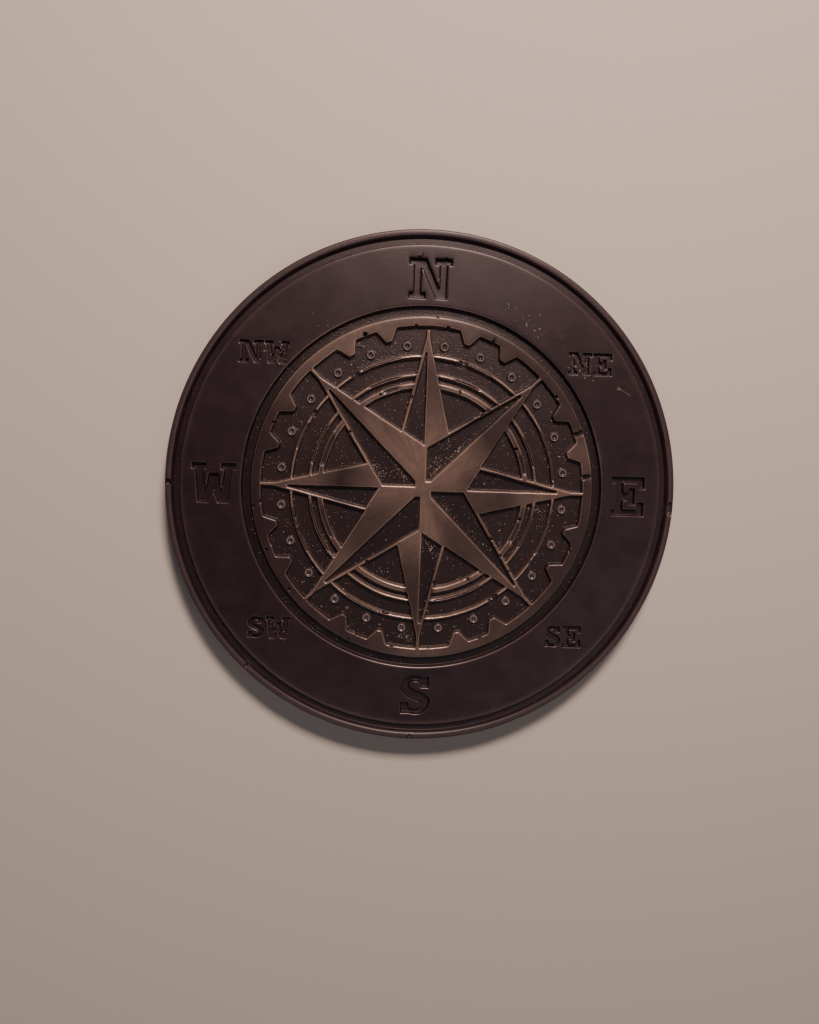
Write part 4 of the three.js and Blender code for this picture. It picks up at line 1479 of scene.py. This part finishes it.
def lustre_chocolate():
    """Dark chocolate cast in a soft mould, with bronze lustre dust rubbed over the raised rose
    and toothed ring. The eye sees purplish black-brown where it is bare, soft bronze on the rubbed
    faces, which on the toothed ring is partly painted sheen, brighter where an edge took more dust,
    a pale line of painted highlight along the lips outside the ring, a satin gloss all over, and
    grainy floors with painted shade and with pinpoints of dust in the rose."""
    material, tree, shader, mm = start_material("dark_chocolate_with_bronze_lustre")
    flat = add_node(tree, VECTOR, MULTIPLY, {0: mm, 1: (1.0, 1.0, 0.0)})
    radius = add_node(tree, VECTOR, {"operation": "LENGTH"}, {0: flat}, "Value")
    edge, dust, fresh = (
        add_node(tree, "ShaderNodeAttribute", {"attribute_name": name}, None, "Fac")
        for name in ("edge_distance", "lustre", "fresh")
    )
    grain = add_node(
        tree, NOISE, None, {"Vector": mm, "Scale": 2.4, "Detail": 2.0, "Roughness": 0.6}
    )
    dusted, streaks = dusted_share(tree, mm, flat, radius, dust, grain)
    bright, line_colour, lip = edge_line_and_highlight(tree, edge, radius, dust, fresh, grain)
    colour, grainy = bare_chocolate_and_floor_shade(tree, mm, edge, radius)
    ends = {0: streaks, 6: linear(BRONZE_DARK), 7: linear(BRONZE_LIGHT)}
    bronze = add_node(tree, MIX, COLOURS, ends, COLOUR_OUTPUT)
    rim = add_node(
        tree, RANGE, None, {"Value": radius, 1: RIM_INNER - 0.4, 2: RIM_INNER + 0.1, 4: 0.09}
    )
    # Only eyelets are both glossy and dusted: there the dust is pearly
    pearl = add_node(tree, MATH, MULTIPLY, {0: fresh, 1: dust})
    layers = (
        (dusted, bronze),
        (rim, linear(RIM_WEAR)),
        (bright, line_colour),
        (pinpoints(tree, mm, grainy), linear(PINPOINT)),
        (pearl, linear(PEARL)),
    )
    for share, layer in layers:
        colour = add_node(tree, MIX, COLOURS, {0: share, 6: colour, 7: layer}, COLOUR_OUTPUT)
    tree.links.new(colour, shader.inputs["Base Color"])

    # Dust and a worn lip are smoother, grains and the grainy floors rougher
    gloss = add_node(tree, RANGE, None, {"Value": fresh, 3: SATIN, 4: FRESH_GLOSS})
    for share, change in ((dusted, -0.04), (grain, 0.06), (grainy, 0.03), (lip, -0.1)):
        gloss = add_node(tree, MATH, MULTIPLY_ADD, {0: share, 1: change, 2: gloss})
    tree.links.new(gloss, shader.inputs["Roughness"])
    metal = add_node(tree, MATH, MULTIPLY, {0: dusted, 1: METAL})
    metal = add_node(tree, MATH, MULTIPLY_ADD, {0: bright, 1: METAL, 2: metal})
    tree.links.new(metal, shader.inputs["Metallic"])
    shader.inputs["IOR"].default_value = COCOA_BUTTER_IOR
    shader.inputs["Specular Tint"].default_value = linear(GLEAM)

    relief = add_node(tree, RANGE, None, {"Value": grainy, 3: 0.15})
    relief = add_node(tree, MATH, MULTIPLY, {0: relief, 1: grain})
    bump = add_node(
        tree, "ShaderNodeBump", None, {"Strength": 1.0, "Distance": GRAIN_HEIGHT, "Height": relief}
    )
    tree.links.new(bump, shader.inputs["Normal"])
    return material


def loose_bits(name, dark, light, roughness):
    """A finish for crumbs and specks, which the eye sees as uneven in tone from one bit to the
    next and over each bit: two noises, of 1.5 mm and 0.15 mm."""
    material, tree, shader, mm = start_material(name)
    between = add_node(
        tree, NOISE, None, {"Vector": mm, "Scale": 0.7, "Detail": 1.0, "Roughness": 0.5}
    )
    within = add_node(
        tree, NOISE, None, {"Vector": mm, "Scale": 7.0, "Detail": 2.0, "Roughness": 0.6}
    )
    share = add_node(tree, MATH, {"operation": "ADD"}, {0: between, 1: within})
    share = add_node(tree, RANGE, None, {"Value": share, 1: 0.7, 2: 1.3})
    ends = {0: share, 6: linear(dark), 7: linear(light)}
    colour = add_node(tree, MIX, COLOURS, ends, COLOUR_OUTPUT)
    tree.links.new(colour, shader.inputs["Base Color"])
    bump = add_node(
        tree, "ShaderNodeBump", None,
        {"Strength": 0.5, "Distance": BIT_GRAIN_HEIGHT, "Height": within},
    )
    tree.links.new(bump, shader.inputs["Normal"])
    shader.inputs["Roughness"].default_value = roughness
    return material


def pressed_lustre_dust():
    """Lustre dust pressed into specks: the eye sees pale pinkish grey dots with a soft shine."""
    return loose_bits("pressed_lustre_dust", "A09088", "F0E4DE", 0.35)


def broken_dark_chocolate():
    """Chocolate broken into crumbs: the eye sees near black to dusty brown bits."""
    return loose_bits("broken_dark_chocolate", "1E1412", "8C7468", 0.35)


def floor_finish():
    """Pale matt board under the medallion."""
    material = bpy.data.materials.new("pale_matt_board")
    material.use_nodes = True
    shader = material.node_tree.nodes["Principled BSDF"]
    shader.inputs["Base Color"].default_value = linear("D6D0C6")
    shader.inputs["Roughness"].default_value = 0.9
    return material


# ---- Scene ---------------------------------------------------------------------------------------

CAMERA_PLACE = (-15.081, 7.357, 242.966)
CAMERA_TURN = (-3.577, -2.652, 2.034)  # about x, y and z, from straight down with north up
LENS = 28.125
LIGHTS = (
    # name, place in metres, width and length in metres, power in watts, colour
    ("key", (0.06, 0.36, 0.43), (0.14, 0.1), 3.4, "FFE2D4"),
    ("fill", (0.42, -0.33, 0.85), (0.5, 0.5), 0.7, "FFF4EC"),
    ("low_fill", (-0.14, -0.45, 0.6), (0.3, 0.3), 0.36, "F4E4FA"),
)
SURROUND = "F4EFE8"
SURROUND_STRENGTH = 0.02
FLOOR_SIZE = 4  # metres


def add_camera():
    """The photo's viewpoint: close above the face, leaning a few degrees."""
    camera = bpy.data.objects.new("camera", bpy.data.cameras.new("camera"))
    bpy.context.scene.collection.objects.link(camera)
    camera.data.lens = LENS
    camera.data.clip_start = 0.01
    camera.data.clip_end = 20
    turn = Euler([math.radians(angle) for angle in CAMERA_TURN]).to_matrix().to_4x4()
    camera.matrix_world = Matrix.Translation([v * MM for v in CAMERA_PLACE]) @ turn
    bpy.context.scene.camera = camera


def add_light(name, place, size, power, colour):
    """A rectangular light aimed at the middle of the back."""
    light = bpy.data.objects.new(name, bpy.data.lights.new(name, "AREA"))
    bpy.context.scene.collection.objects.link(light)
    light.data.shape = "RECTANGLE"
    light.data.size, light.data.size_y = size
    light.data.energy = power
    light.data.color = linear(colour)[:3]
    light.location = place
    light.rotation_mode = "QUATERNION"
    light.rotation_quaternion = (-Vector(place)).to_track_quat("-Z", "Y")


add_camera()
disc, disc_edges = cast_disc()
disc.data.materials.append(lustre_chocolate())
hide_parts("medallion_disc")
specks, crumbs = specks_and_crumbs(disc_edges)
specks.data.materials.append(pressed_lustre_dust())
crumbs.data.materials.append(broken_dark_chocolate())
for piece in (disc, specks, crumbs):
    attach(piece, "root")

world = bpy.data.worlds.new("studio")
bpy.context.scene.world = world
world.use_nodes = True
world.node_tree.nodes["Background"].inputs["Color"].default_value = linear(SURROUND)
world.node_tree.nodes["Background"].inputs["Strength"].default_value = SURROUND_STRENGTH
for light_row in LIGHTS:
    add_light(*light_row)

bpy.ops.mesh.primitive_plane_add(size=FLOOR_SIZE, location=(0, 0, 0))
floor = bpy.context.object
floor.name = "floor"
floor.data.materials.append(floor_finish())
